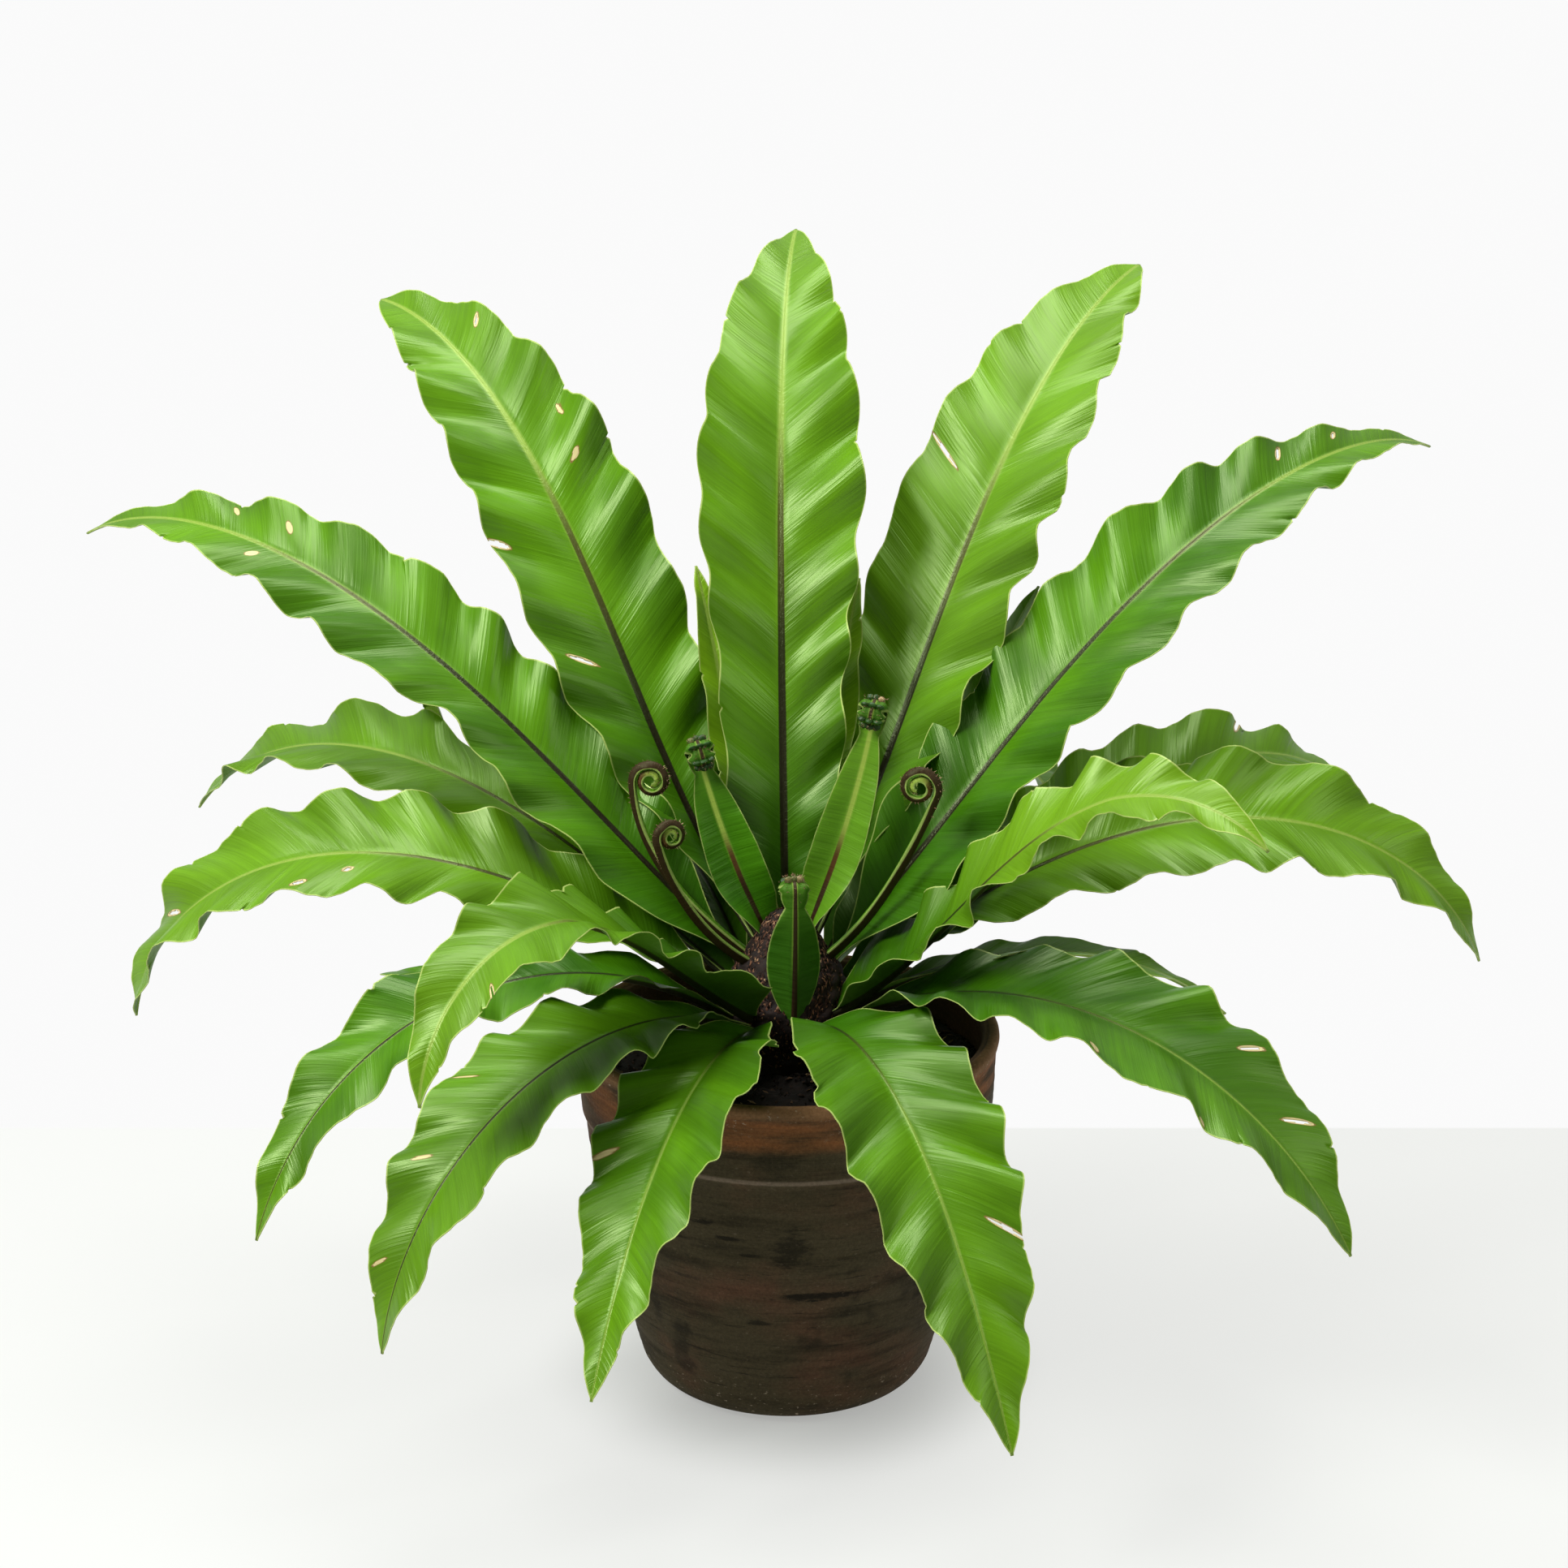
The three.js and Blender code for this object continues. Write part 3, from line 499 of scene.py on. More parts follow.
def frondSheet(f, index, look, marks):
    number = index + 1
    rib = runMidrib(f)
    far, shift = footShifts.get(number, (1, (0, 0, 0)))
    rib["place"] = rib["place"] + np.maximum(0, 1 - rib["u"] / far)[:, None] * np.array([shift])
    extra = np.radians(footRolls.get(number, 0)) * (1 - ease(rib["u"], *look["footRollReach"]))
    rib["side"], rib["face"] = rollFrame(rib["side"], rib["face"], extra)
    rng = np.random.default_rng(40 + index)
    nicks = {hand: [tuple(rng.uniform(*look[key]) for key in ("nickPlace", "nickDepth", "nickLength"))
                    for _ in range(look["notches"])] for hand in (1, -1)}
    for at, depth, width, hand in footNicks.get(number, ()):
        nicks[hand].append((at, depth, width))
    s = rowPlaces(f, look, marks, nicks)
    lean = math.tan(math.radians(look["slant"])) / f["long"]
    rowHalf = halfWidth(f, s)
    marginU = np.clip(s + lean * rowHalf, 0, 1)
    halves = []
    for hand in (1, -1):
        shift = 0 if hand > 0 else look["otherHand"]
        stray, swing = wanderer(rng, 1.3), wanderer(rng, 1.7)
        ripple = wanderer(rng, f["waves"] * 1.7, 3)
        phase = fullTurn * (f["waves"] * marginU + shift + index * 0.23) + look["phaseWander"] * stray(s)
        calm = np.minimum(1, halfWidth(f, marginU) / f["wide"] * 3.2)  # below 1 where the blade is narrow
        halfWave = halfWaves.get((number, hand), 1)
        ruffle = f["wave"] * waveSizes.get(number, 1.0) * halfWave * ease(marginU, *look["waveStart"]) * calm
        wave = ruffle * (1 + look["waveWander"] * swing(s)) * np.sin(phase)
        ripples = ruffle * look["ripple"] * ripple(s)
        lobes = look["lobes"] * halfWave * np.cos(phase) * np.minimum(1, ruffle / 2)
        flare = lambda u: sum((wider * ease(1 - np.abs(u - at) / far, 0, 1) for half, at, far, wider
                               in flares.get(number, ()) if half == hand), 0 * u)
        nick = 0 * s
        for at, depth, width in nicks[hand]:
            d = (s - at) * f["long"] / width
            nick = np.maximum(nick, depth * np.maximum(0, 1 - np.where(d < 0, -d, d * 1.8)))
        lanes = []
        for x in [-0.5, -1] + lanePlaces(f, look, marks, hand):  # below 0: a share of the midrib's half width
            u = s if x < 0 else np.clip(s + lean * rowHalf * x, 0, 1)
            half = halfWidth(f, u)
            ribHalf = np.minimum(look["ribHalf"][f["tier"]] * (1 - 0.7 * u), half * 0.8)
            if x < 0:
                part, reach, lift = 0, -x * ribHalf, 0
                edge = half + flare(u) - reach
            else:
                full = half * (1 + lobes) + flare(u)
                part, reach = x, ribHalf + (full - ribHalf) * x - nick * x**6
                edge = full - nick - reach
                lift = wave * x + ripples * x**4
            nearFoot = np.maximum(0, 1 - u / look["foldReach"]) ** 1.5
            fold = np.radians(look["foldAll"] + look["foldFoot"] * nearFoot)
            rise = reach * np.sin(fold) * (1 + look["vault"] * (1 - part) ** 2) + lift
            place, side, face = readMidrib(rib, u)
            point = place + side * (hand * reach * np.cos(fold))[:, None] + face * rise[:, None]
            lanes.append({"point": point, "u": u, "across": hand * reach, "edge": np.maximum(0, edge),
                          "rib": reach / ribHalf, "part": part})
        halves.append(lanes)
    centre = {"point": readMidrib(rib, s)[0], "u": s, "across": 0 * s, "edge": rowHalf, "rib": 0 * s,
              "part": 0}
    order = halves[0][::-1] + [centre] + halves[1]
    keys = ("point", "u", "across", "edge", "rib")
    sheet = {key: np.stack([lane[key] for lane in order], 1) for key in keys}
    return dict(sheet, s=s, part=np.array([lane["part"] for lane in order]), middle=len(halves[0]))


# What the leaf material reads at each point. Place: millimetres along and across, and a number for the
# leaf. Span: share of the length, millimetres to the margin, place across the midrib. State: tone, damage,
# underside. Rib: where the midrib turns pale, where the painted shade at the foot begins, how far the midrib
# fades.
def leafVectors(shape, place, span, state, rib):
    named = {"leafPlace": place, "leafSpan": span, "leafState": state, "leafRib": rib}
    return {name: np.stack([np.broadcast_to(v, shape) for v in values], -1) for name, values in named.items()}


def frondPiece(f, index, look, material):
    marks = frondMarks.get(index + 1, ())
    sheet = frondSheet(f, index, look, marks)
    point, s, across, middle = (sheet[key] for key in ("point", "s", "across", "middle"))
    rows, columns = across.shape
    normal = unit(np.cross(np.gradient(point, axis=0), -np.gradient(point, axis=1)), 1e-9)
    crest, keel = np.zeros((rows, columns)), np.zeros((rows, columns))
    foot = np.maximum(0, 1 - s / look["crestFootReach"])
    for step, share in ((0, 1.0), (1, 0.72)):
        for j in (middle - step, middle + step):
            crest[:, j] = share * (look["crest"] * (1 - 0.6 * s) + foot * look["crestFoot"])
            keel[:, j] = share * look["keel"] * (1 - 0.8 * s)
    thin = look["edgeThick"] + (look["thick"] - look["edgeThick"]) * (1 - sheet["part"] ** 3)
    points = np.stack([point + normal * (thin / 2 + crest)[:, :, None],
                       point - normal * (thin / 2 + keel)[:, :, None]]).reshape(-1, 3)

    rowMm = np.repeat((s * f["long"])[:, None], columns, 1)
    hurt = np.zeros((rows, columns))
    keep = np.ones((rows - 1, columns - 1), dtype=bool)
    cellOf = lambda v: (v[:-1, :-1] + v[1:, :-1] + v[1:, 1:] + v[:-1, 1:]) / 4
    for at, mid, tall, broad, kind in marks:
        away = lambda down, over, rim: np.hypot((down - at * f["long"]) / (tall + rim),
                                                (over - mid) / (broad + rim))
        mark = 1 - ease(away(rowMm, across, look["hurtRim"]), 0.75, 1.25)
        hurt = np.maximum(hurt, markStrength[kind] * mark)
        if kind == "hole":
            keep &= away(cellOf(rowMm), cellOf(across), 0) > 1
    # where kept cells would meet only at a corner, cells there are opened too
    crossed = (~keep[:-1, :-1] & ~keep[1:, 1:] & keep[1:, :-1] & keep[:-1, 1:]) | (
        keep[:-1, :-1] & keep[1:, 1:] & ~keep[1:, :-1] & ~keep[:-1, 1:])
    keep[:-1, :-1] &= ~crossed
    keep[1:, :-1] &= ~crossed

    faces = sheetFaces(keep, 1)
    apart = across + np.sign(across) * look["halvesApart"]
    ribTurn = ownRibTurns.get(index + 1, ribTurns[f["tier"]])
    vectors = leafVectors((2, rows, columns), (rowMm, apart, index * 31.0),
                          (sheet["u"], sheet["edge"], sheet["rib"]),
                          (f["tone"], hurt, np.arange(2)[:, None, None]),
                          (ribTurn, paintedShadeStarts.get(index + 1, 0.04), look["ribFade"][f["tier"] == "low"]))
    sharp = np.zeros((2, rows, columns), dtype=np.int8)
    sharp[0, :, 0], sharp[0, :, -1], sharp[1, :, 0], sharp[1, :, -1] = 1, 2, 3, 4
    used, packed = np.unique(faces, return_inverse=True)
    vectors = {key: values.reshape(-1, 3)[used] for key, values in vectors.items()}
    number = "%02d" % (index + 1)
    makePiece("blade_" + number, points[used], packed.reshape(faces.shape), material,
              ("frond_" + number,),
              vectors=vectors, sharp=sharp.ravel()[used])


leafLook = {
    "dark": (0.022, 0.1, 0.0006), "mid": (0.07, 0.215, 0.0012), "light": (0.2, 0.39, 0.01),
    "yellow": (0.36, 0.55, 0.04),
    "under": (0.055, 0.16, 0.006),
    "ribDark": (0.012, 0.008, 0.004), "ribBrown": (0.05, 0.035, 0.01), "ribPale": (0.24, 0.36, 0.05),
    "edge": (0.42, 0.52, 0.14),
    "hurtEdge": (0.2, 0.12, 0.035), "hurt": (0.62, 0.52, 0.25),
    # painted shade that darkens each blade's foot down in the crown: over how much of the length, strength
    "paintedFootShade": (0.42, 0.9),  # over how much of the length, strength
    "rough": 0.34, "gloss": 0.5, "glossTint": (0.8, 1.0, 0.5), "translucent": 0.14,
}


def makeLeafMaterial(name, look):
    material = newMaterial(name)
    place = vectorOf("leafPlace")
    u, edgeMm, ribShare = partsOf(vectorOf("leafSpan"))
    tone, hurt, under = partsOf(vectorOf("leafState"))
    ribTurn, paintedShadeStart, ribFade = partsOf(vectorOf("leafRib"))

    fine = noise(place, (1.1, 0.035, 1), 1.0, 2.0, 0.6)  # single veins
    streak = noise(place, (0.34, 0.016, 1), 1.0, 2.0, 0.5)  # bundles of veins
    cloud = noise(place, (0.02, 0.02, 1), 1.0, 3.0, 0.5)

    green = blend(tone, blend(fade(cloud, 0.35, 0.7), look["dark"], look["mid"]), look["light"])
    green = blend(times(fade(u, 0.55, 1.05), 0.25), green, look["light"])  # lighter towards the tip
    reach, strength = look["paintedFootShade"]
    beyond = fade(calc("SUBTRACT", u, paintedShadeStart), 0, reach)
    # painted shade: towards its foot, down among the other fronds in the crown, the blade turns to the dark
    # green
    green = blend(scaled(beyond, -strength, strength), green, look["dark"])
    lively = plus(scaled(fine, 0.46, 0.57), times(streak, 0.4))
    green = blend(1.0, green, addNode("CombineColor", {0: lively, 1: lively, 2: lively}), "MULTIPLY")
    green = blend(times(under, 0.65), green, look["under"])
    green = blend(times(fade(edgeMm, 0.75, 0.25), 0.8), green, look["edge"])  # the outermost half millimetre

    ribPlace = calc("SUBTRACT", u, ribTurn)
    ribColour = blend(fade(ribPlace, -0.16, 0.0), look["ribDark"], look["ribBrown"])
    ribColour = blend(fade(ribPlace, 0.0, 0.16), ribColour, look["ribPale"])
    beside = times(fade(ribShare, 1.9, 1.2), fade(u, 0.3, 0.7))
    green = blend(times(beside, 0.4), green, look["ribPale"])
    ribColour = blend(times(ribFade, fade(ribPlace, -0.3, 0.1)), ribColour, green)
    green = blend(fade(ribShare, 1.1, 0.85), green, ribColour)
    scar = times(hurt, scaled(fine, 0.9, 0.55))
    green = blend(fade(scar, 0.12, 0.3), green, look["hurtEdge"])
    green = blend(fade(scar, 0.38, 0.6), green, look["hurt"])

    ridges = plus(times(fine, 0.35), times(streak, 0.9))
    bump = addNode("Bump", {"Height": ridges, "Strength": 0.8, "Distance": 0.0005})
    rough = scaled(under, 0.16, scaled(fine, 0.16, look["rough"] - 0.08))
    leaf = addNode("BsdfPrincipled", {
        "Base Color": green, "Roughness": rough, "Normal": bump, "Specular IOR Level": look["gloss"],
        "Specular Tint": look["glossTint"]})
    through = addNode("BsdfTranslucent", {"Color": blend(0.5, green, look["yellow"]), "Normal": bump})
    mixed = addNode("MixShader", {0: look["translucent"], 1: leaf, 2: through})
    addNode("OutputMaterial", {"Surface": mixed})
    return material


leafMaterial = makeLeafMaterial("fern_leaf", leafLook)
for index, row in enumerate(frondRows):
    frondPiece(dict(zip(frondFields, row)), index, frondLook, leafMaterial)

# Curled bits on a margin: frond, place along it, half, half length, reach outwards, turn, tone, underside
flaps = [(6, 0.53, -1, 6, 15, 150, 1.0, 0), (12, 0.484, -1, 8, 17, -30, 0.1, 0)]
flapLook = {"steps": 13, "lanes": 14, "halfThick": 0.22, "ragged": 0.8}


def marginFlap(look, number, at, hand, reach, outwards, turn, tone, under):
    f = dict(zip(frondFields, frondRows[number - 1]))
    sheet = frondSheet(f, number - 1, frondLook, ())
    t = np.linspace(-1, 1, look["steps"])
    s = at + t * reach / f["long"]
    read = lambda lane: np.stack([np.interp(s, sheet["s"], sheet["point"][:, lane, k]) for k in range(3)], -1)
    margin, further = (0, 3) if hand > 0 else (-1, -4)
    edge = read(margin)
    away = unit((edge - read(further)).mean(0))
    normal = unit(np.cross(edge[-1] - edge[0], away) * hand)
    angle = np.radians(turn) * np.linspace(0, 1, look["lanes"])
    level, lifted = np.cumsum(np.cos(angle)) / look["lanes"], np.cumsum(np.sin(angle)) / look["lanes"]
    far = (outwards * np.sqrt(1.02 - t**2) + look["ragged"] * np.sin(7 * t))[:, None]
    grid = (edge - away)[:, None] + far[:, :, None] * (level[:, None] * away + lifted[:, None] * normal)[None]
    skin = unit(np.cross(np.gradient(grid, axis=0), np.gradient(grid, axis=1)), 1e-9) * look["halfThick"]
    rows, lanes = grid.shape[:2]
    across = np.linspace(0, 1, lanes) * far
    vectors = leafVectors((2, rows, lanes), ((s * f["long"])[:, None], across, number * 53.0),
                          (0.6, np.minimum(far - across, 9), 9), (tone, 0, under), (0.04, 0.04, 0.04))
    faces = sheetFaces(np.ones((rows - 1, lanes - 1), dtype=bool), 0)
    turnOutward(makePiece("blade_%02d_curl" % number, np.stack([grid + skin, grid - skin]), faces,
                          leafMaterial, vectors=vectors))


for row in flaps:
    marginFlap(flapLook, *row)
print("fern scene: fronds made")

# Young fronds: a stem that widens to a small blade and ends in a coil
youngFields = ("az", "long", "rise", "middle", "droop", "wide", "coil", "turns", "rolled", "roll", "tier",
               "tone", "brown", "ribTurn")
youngRows = [
    (163, 104, 66, 66, 76, 29, 7, 1.5, 13, -62, "heart", 0.0, 1.5, 0.5),
    (14, 123, 70, 70, 80, 27, 7, 1.5, 13, 64, "heart", 0.5, 1.5, 0.42),
    (175, 111, 36, 43, 88, 5, 8.5, 1.8, 5, 0, "inner", 0.3, 1, 1.6),
    (204, 90, 28, 56, 73, 4.5, 7, 1.7, 4.5, 0, "inner", 0.3, 1, 1.6),
    (350, 106, 36, 66, 67, 5, 9, 1.8, 5, 0, "inner", 0.3, 1, 1.6),
    (276, 66, 80, 82, 94, 28, 6.5, 1.5, 13, 0, "front", 0.0, 2.2, 1.1),
]
# Two values in brackets: the first for a broad young frond, the second for a slim one
youngLook = {
    "rows": 46, "ringPoints": 28, "coilSteps": 34,
    "ballSize": (0.84, 1), "stemHalf": (2.1, 2.6),
    "thick": ((1.9, 0.42, 0.2), (2.7, 0.2, 0.4)),  # at the foot, how much less at the coil, and at its end
    "crest": (0.35, 0.7),  # the raised middle above, as a share of the keel below
    "wing": 0.4, "cup": 28, "ribReach": 1.9,
    "frill": 0.22, "lobesPerTurn": 4.0, "lobe": (1.2, 0), "hood": 2.6, "ruffle": 0.35,
}


def youngPiece(f, index, look, material):
    slim = f["wide"] < 10
    rib = runMidrib(dict(f, swing=0), 400)
    u = np.linspace(0, 1, look["rows"] + 1)
    place, side, face = readMidrib(rib, u)
    steps = int(round(f["turns"] * look["coilSteps"]))
    turn = fullTurn / look["coilSteps"]
    k = np.arange(1, steps + 1)
    radius = f["coil"] * look["ballSize"][slim] * (1 - 0.8 * (k - 0.5) / steps)
    way = lambda angle: np.cos(angle)[:, None] * rib["along"][-1] + np.sin(angle)[:, None] * face[-1]
    coil = place[-1] + np.cumsum(way((k - 0.5) * turn) * (2 * radius * math.sin(turn / 2))[:, None], 0)
    sideCoil = np.repeat(side[-1:], steps, 0)
    place, side = np.vstack([place, coil]), np.vstack([side, sideCoil])
    face = np.vstack([face, np.cross(way(k * turn), sideCoil)])
    u = np.concatenate([u, 1 + k / steps])

    before, past = np.minimum(u, 1), np.maximum(0, u - 1)
    opened = np.maximum(np.sin(math.pi * before**0.9), 0) ** 0.8
    rolled = ease(u, 0.75, 1) * (1 - 0.35 * past) * f["rolled"]
    curl = past * f["turns"] * fullTurn
    frill = 1 + look["frill"] * np.sin(curl * look["lobesPerTurn"] + index) * ease(u, 1.0, 1.1)
    stem = look["stemHalf"][slim] * (1 - 0.3 * before)
    half = np.maximum(stem, np.maximum(opened * f["wide"], rolled * frill) / 2)
    foot, less, lessPast = look["thick"][slim]
    thick = (foot * (1 - less * before) * (1 - lessPast * past))[:, None]
    cup = np.radians(look["cup"]) * (1 - ease(u, 0.6, 1))

    angle = np.linspace(0, fullTurn, look["ringPoints"], endpoint=False)
    x = np.sign(np.cos(angle)) * np.abs(np.cos(angle)) ** 0.8
    lower = np.sin(angle) < -1e-9
    across = x * half[:, None]
    wing = np.minimum(look["wing"], thick) * np.sqrt(np.maximum(1 - x**6, 0))
    ridge = (thick - wing) * np.exp(-((across / look["ribReach"]) ** 2))
    lobes = np.abs(np.cos(1.5 * math.pi * x)) * ease(u, 0.98, 1.05)[:, None] * look["lobe"][slim]
    body = np.where(lower, -(wing + ridge) - lobes, wing + ridge * look["crest"][slim])
    body = body * np.minimum(1, np.abs(np.sin(angle)) * 2.5)
    wave = wanderer(np.random.default_rng(90 + index), 7, 3)
    ruffle = look["ruffle"] * ease(half, 3, 8)[:, None] * x**2 * wave(u)[:, None] * np.sign(x)
    hood = look["hood"] * (rolled / 13)[:, None] * x**4
    lift = np.abs(across) * np.sin(cup)[:, None] + body + ruffle + hood
    level = across * np.cos(cup)[:, None]
    points = place[:, None] + side[:, None] * level[:, :, None] + face[:, None] * lift[:, :, None]

    ribShare = np.where(lower, 0.5, 4.0) if slim else np.abs(across) / (1.7 - 0.9 * before)[:, None]
    ball = ease(u, 0.95, 1.0)[:, None] * (not slim)
    vectors = leafVectors(across.shape, ((u * f["long"])[:, None], across, index * 47.0 + 900),
                          (u[:, None], np.abs(half[:, None] - np.abs(across)), ribShare),
                          (f["tone"] * (1 - ball), 0, np.maximum(lower, ball)),
                          (f["ribTurn"] + 2 * ball, -0.1, 0))
    # which way round the faces run is settled by the volume
    number = str(index + 1)
    turnOutward(makePiece("young_blade_" + number, points, cappedTube(*across.shape), material,
                          ("young_frond_" + number,), vectors=vectors))
    return points[:, np.argmin(np.sin(angle))], -face, side, u, half


def repeated(pattern, corners, count):
    return (np.arange(count)[:, None, None] * corners + np.array(pattern)).reshape(-1, 3)


# Turns small forms to their own ways and sets them at their places
def setOut(places, ways, ups, local):
    side = unit(np.cross(ups, ways))
    axes = (ways, side, np.cross(ways, side))
    return (places[:, None] + sum(local[..., k:k + 1] * axes[k][:, None] for k in range(3))).reshape(-1, 3)


def spikes(places, ways, lengths, widths):
    a = unit(np.cross(ways, np.where(np.abs(ways[:, 2:3]) < 0.9, [[0.0, 0.0, 1.0]], [[1.0, 0.0, 0.0]])))
    b = np.cross(ways, a)
    thirds = (0, 2.094, 4.189)
    corners = [places + (a * math.cos(t) + b * math.sin(t)) * widths[:, None] / 2 for t in thirds]
    points = np.stack(corners + [places + ways * lengths[:, None]], 1)
    return points, repeated([[0, 2, 1], [0, 1, 3], [1, 2, 3], [2, 0, 3]], 4, len(places))


def chips(places, ways, ups, sizes, rng, uneven):
    corner = np.array([[1, 0, 0], [-1, 0, 0], [0, 1, 0], [0, -1, 0], [0, 0, 1], [0, 0, -1]], dtype=float)
    local = (corner + rng.uniform(-uneven, uneven, (len(places), 6, 3))) * sizes[:, None, :] / 2
    pattern = [[0, 2, 4], [2, 1, 4], [1, 3, 4], [3, 0, 4], [2, 0, 5], [1, 2, 5], [3, 1, 5], [0, 3, 5]]
    return setOut(places, ways, ups, local), repeated(pattern, 6, len(places))


def lumps(places, ways, ups, sizes, rng, around=9, rings=6, uneven=0.16):
    v = np.linspace(0, math.pi, rings + 1)[1:-1, None]
    middle = onCircle(np.sin(v), np.linspace(0, fullTurn, around, endpoint=False), np.cos(v))
    ball = np.vstack([[0, 0, 1], middle.reshape(-1, 3), [0, 0, -1]])
    last = len(ball) - 1
    local = ball * (1 + rng.uniform(-uneven, uneven, (len(places), len(ball), 1))) * sizes[:, None, :]
    faces = []
    for k in range(around):
        n = (k + 1) % around
        faces += [[0, 1 + k, 1 + n], [last, last - around + n, last - around + k]]
        for r in range(rings - 2):
            p, q = 1 + r * around + k, 1 + r * around + n
            faces += [[p, p + around, q + around], [p, q + around, q]]
    return setOut(places, ways, ups, local), repeated(faces, len(ball), len(places)), len(ball)


def shadeOf(values, corners=1):
    return {"bitShade": triple(np.repeat(values, corners), 0, 0)}


def makeBitMaterial(name, stops, rough, scale=900):
    material = newMaterial(name)
    shade = partsOf(vectorOf("bitShade"))[0]
    grain = noise(addNode("TexCoord").outputs["Object"], (1, 1, 1), scale, 3, 0.6)
    colour = colourRamp(plus(shade, scaled(grain, 0.35, -0.175)), stops)
    bump = addNode("Bump", {"Height": grain, "Strength": 0.6, "Distance": 0.0005})
    shader = addNode("BsdfPrincipled", {"Base Color": colour, "Roughness": rough, "Specular IOR Level": 0.3,
                                        "Normal": bump})
    addNode("OutputMaterial", {"Surface": shader})
    return material


youngLeafLook = dict(leafLook, dark=(0.03, 0.13, 0.002), mid=(0.06, 0.21, 0.004), light=(0.17, 0.36, 0.02),
                     under=(0.02, 0.075, 0.004), ribDark=(0.03, 0.012, 0.006), ribBrown=(0.09, 0.035, 0.012),
                     ribPale=(0.3, 0.42, 0.06), edge=(0.3, 0.38, 0.1), rough=0.4, gloss=0.3, translucent=0.1)
youngMaterial = makeLeafMaterial("young_leaf", youngLeafLook)

# Hairs on all coils, and lobes on the coils of the broad young fronds
hairStops = [(0.0, (0.05, 0.018, 0.008)), (0.5, (0.2, 0.1, 0.045)), (1.0, (0.5, 0.36, 0.2))]
hairLook = {
    "count": 260,  # times the frond's own brown
    "start": (1.02, 0.86),  # place along the frond: broad, slim
    "length": (0.5, 1.6), "width": (0.16, 0.34), "stray": 0.35, "rough": 0.6,
    "clusters": (-0.67, 0, 0.67),  # across a broad coil, as shares of its half width
}
# the two palest stops are partly the coil's tan fuzz and partly a painted highlight, worn by the lobes that
# face up
lobeStops = [(0.0, (0.012, 0.03, 0.004)), (0.5, (0.017, 0.065, 0.005)), (0.72, (0.07, 0.1, 0.022)),
             (0.9, (0.3, 0.2, 0.09)), (1.0, (0.5, 0.38, 0.2))]
lobeLook = {
    "rows": ((1.12, 0.72), (1.24, 1), (1.36, 1), (1.48, 0.8)),  # place along the frond, spread
    "spread": 0.66, "reach": 5.4, "sizes": ((1.5, 2.1), (0.7, 1.1), (1.7, 2.3)),
    "fuzzAndHighlightAbove": (0.75, 1.1), "fuzzAndHighlightShade": (0.72, 0.95), "shade": (0.15, 0.5), "rough": 0.4,
}
rng = np.random.default_rng(7)
hairs, lobes = [], []
for index, row in enumerate(youngRows):
    f = dict(zip(youngFields, row))
    slim = f["wide"] < 10
    place, way, side, u, half = youngPiece(f, index, youngLook, youngMaterial)
    for at, narrow in () if slim else lobeLook["rows"]:
        k = np.searchsorted(u, at)
        for spread in (-lobeLook["spread"] * narrow, 0, lobeLook["spread"] * narrow):
            lift = 0.1 - 0.6 * abs(spread)
            lobes.append((place[k] + side[k] * spread * lobeLook["reach"] + way[k] * lift, way[k], side[k]))
    count = int(hairLook["count"] * f["brown"])
    pick = rng.choice(np.nonzero(u > hairLook["start"][slim])[0], count)
    spread = rng.uniform(-1, 1, count)
    if not slim:
        spread = rng.choice(hairLook["clusters"], count) + rng.normal(0, 0.12, count)
    way, side = way[pick], side[pick]
    sunk = (spread**2 * 1.2 - youngLook["lobe"][slim])[:, None]
    beside = (spread * half[pick] * 0.85)[:, None]
    root = place[pick] + side * beside - way * sunk + rng.normal(0, 0.15, (count, 3))
    lean = way + side * (spread * 0.8)[:, None] + rng.normal(0, hairLook["stray"], (count, 3))
    hairs.append((root, unit(lean), rng.uniform(*hairLook["length"], count), rng.uniform(0, 1, count)))
roots, leans, lengths, shades = (np.concatenate(values) for values in zip(*hairs))
points, faces = spikes(roots, leans, lengths, rng.uniform(*hairLook["width"], len(roots)))
hairMaterial = makeBitMaterial("rusty_hair", hairStops, hairLook["rough"])
makePiece("coil_hairs", points, faces, hairMaterial, smooth=False, vectors=shadeOf(shades, 4))
places, ways, ups = (np.array(values) for values in zip(*lobes))
count = len(places)
sizes = np.stack([rng.uniform(*span, count) for span in lobeLook["sizes"]], 1)
# lobes that face up get the pale tan: partly the coil's tan fuzz, partly a painted highlight from the light
# above
fuzzAndHighlightOnTop = ways[:, 2] > rng.uniform(*lobeLook["fuzzAndHighlightAbove"], count)
shades = np.where(fuzzAndHighlightOnTop, rng.uniform(*lobeLook["fuzzAndHighlightShade"], count), rng.uniform(*lobeLook["shade"], count))
points, faces, corners = lumps(places, ways, ups, sizes, rng)
lobeMaterial = makeBitMaterial("coil_lobe", lobeStops, lobeLook["rough"])
makePiece("coil_lobes", points, faces, lobeMaterial, vectors=shadeOf(shades, corners))
print("fern scene: young fronds made")

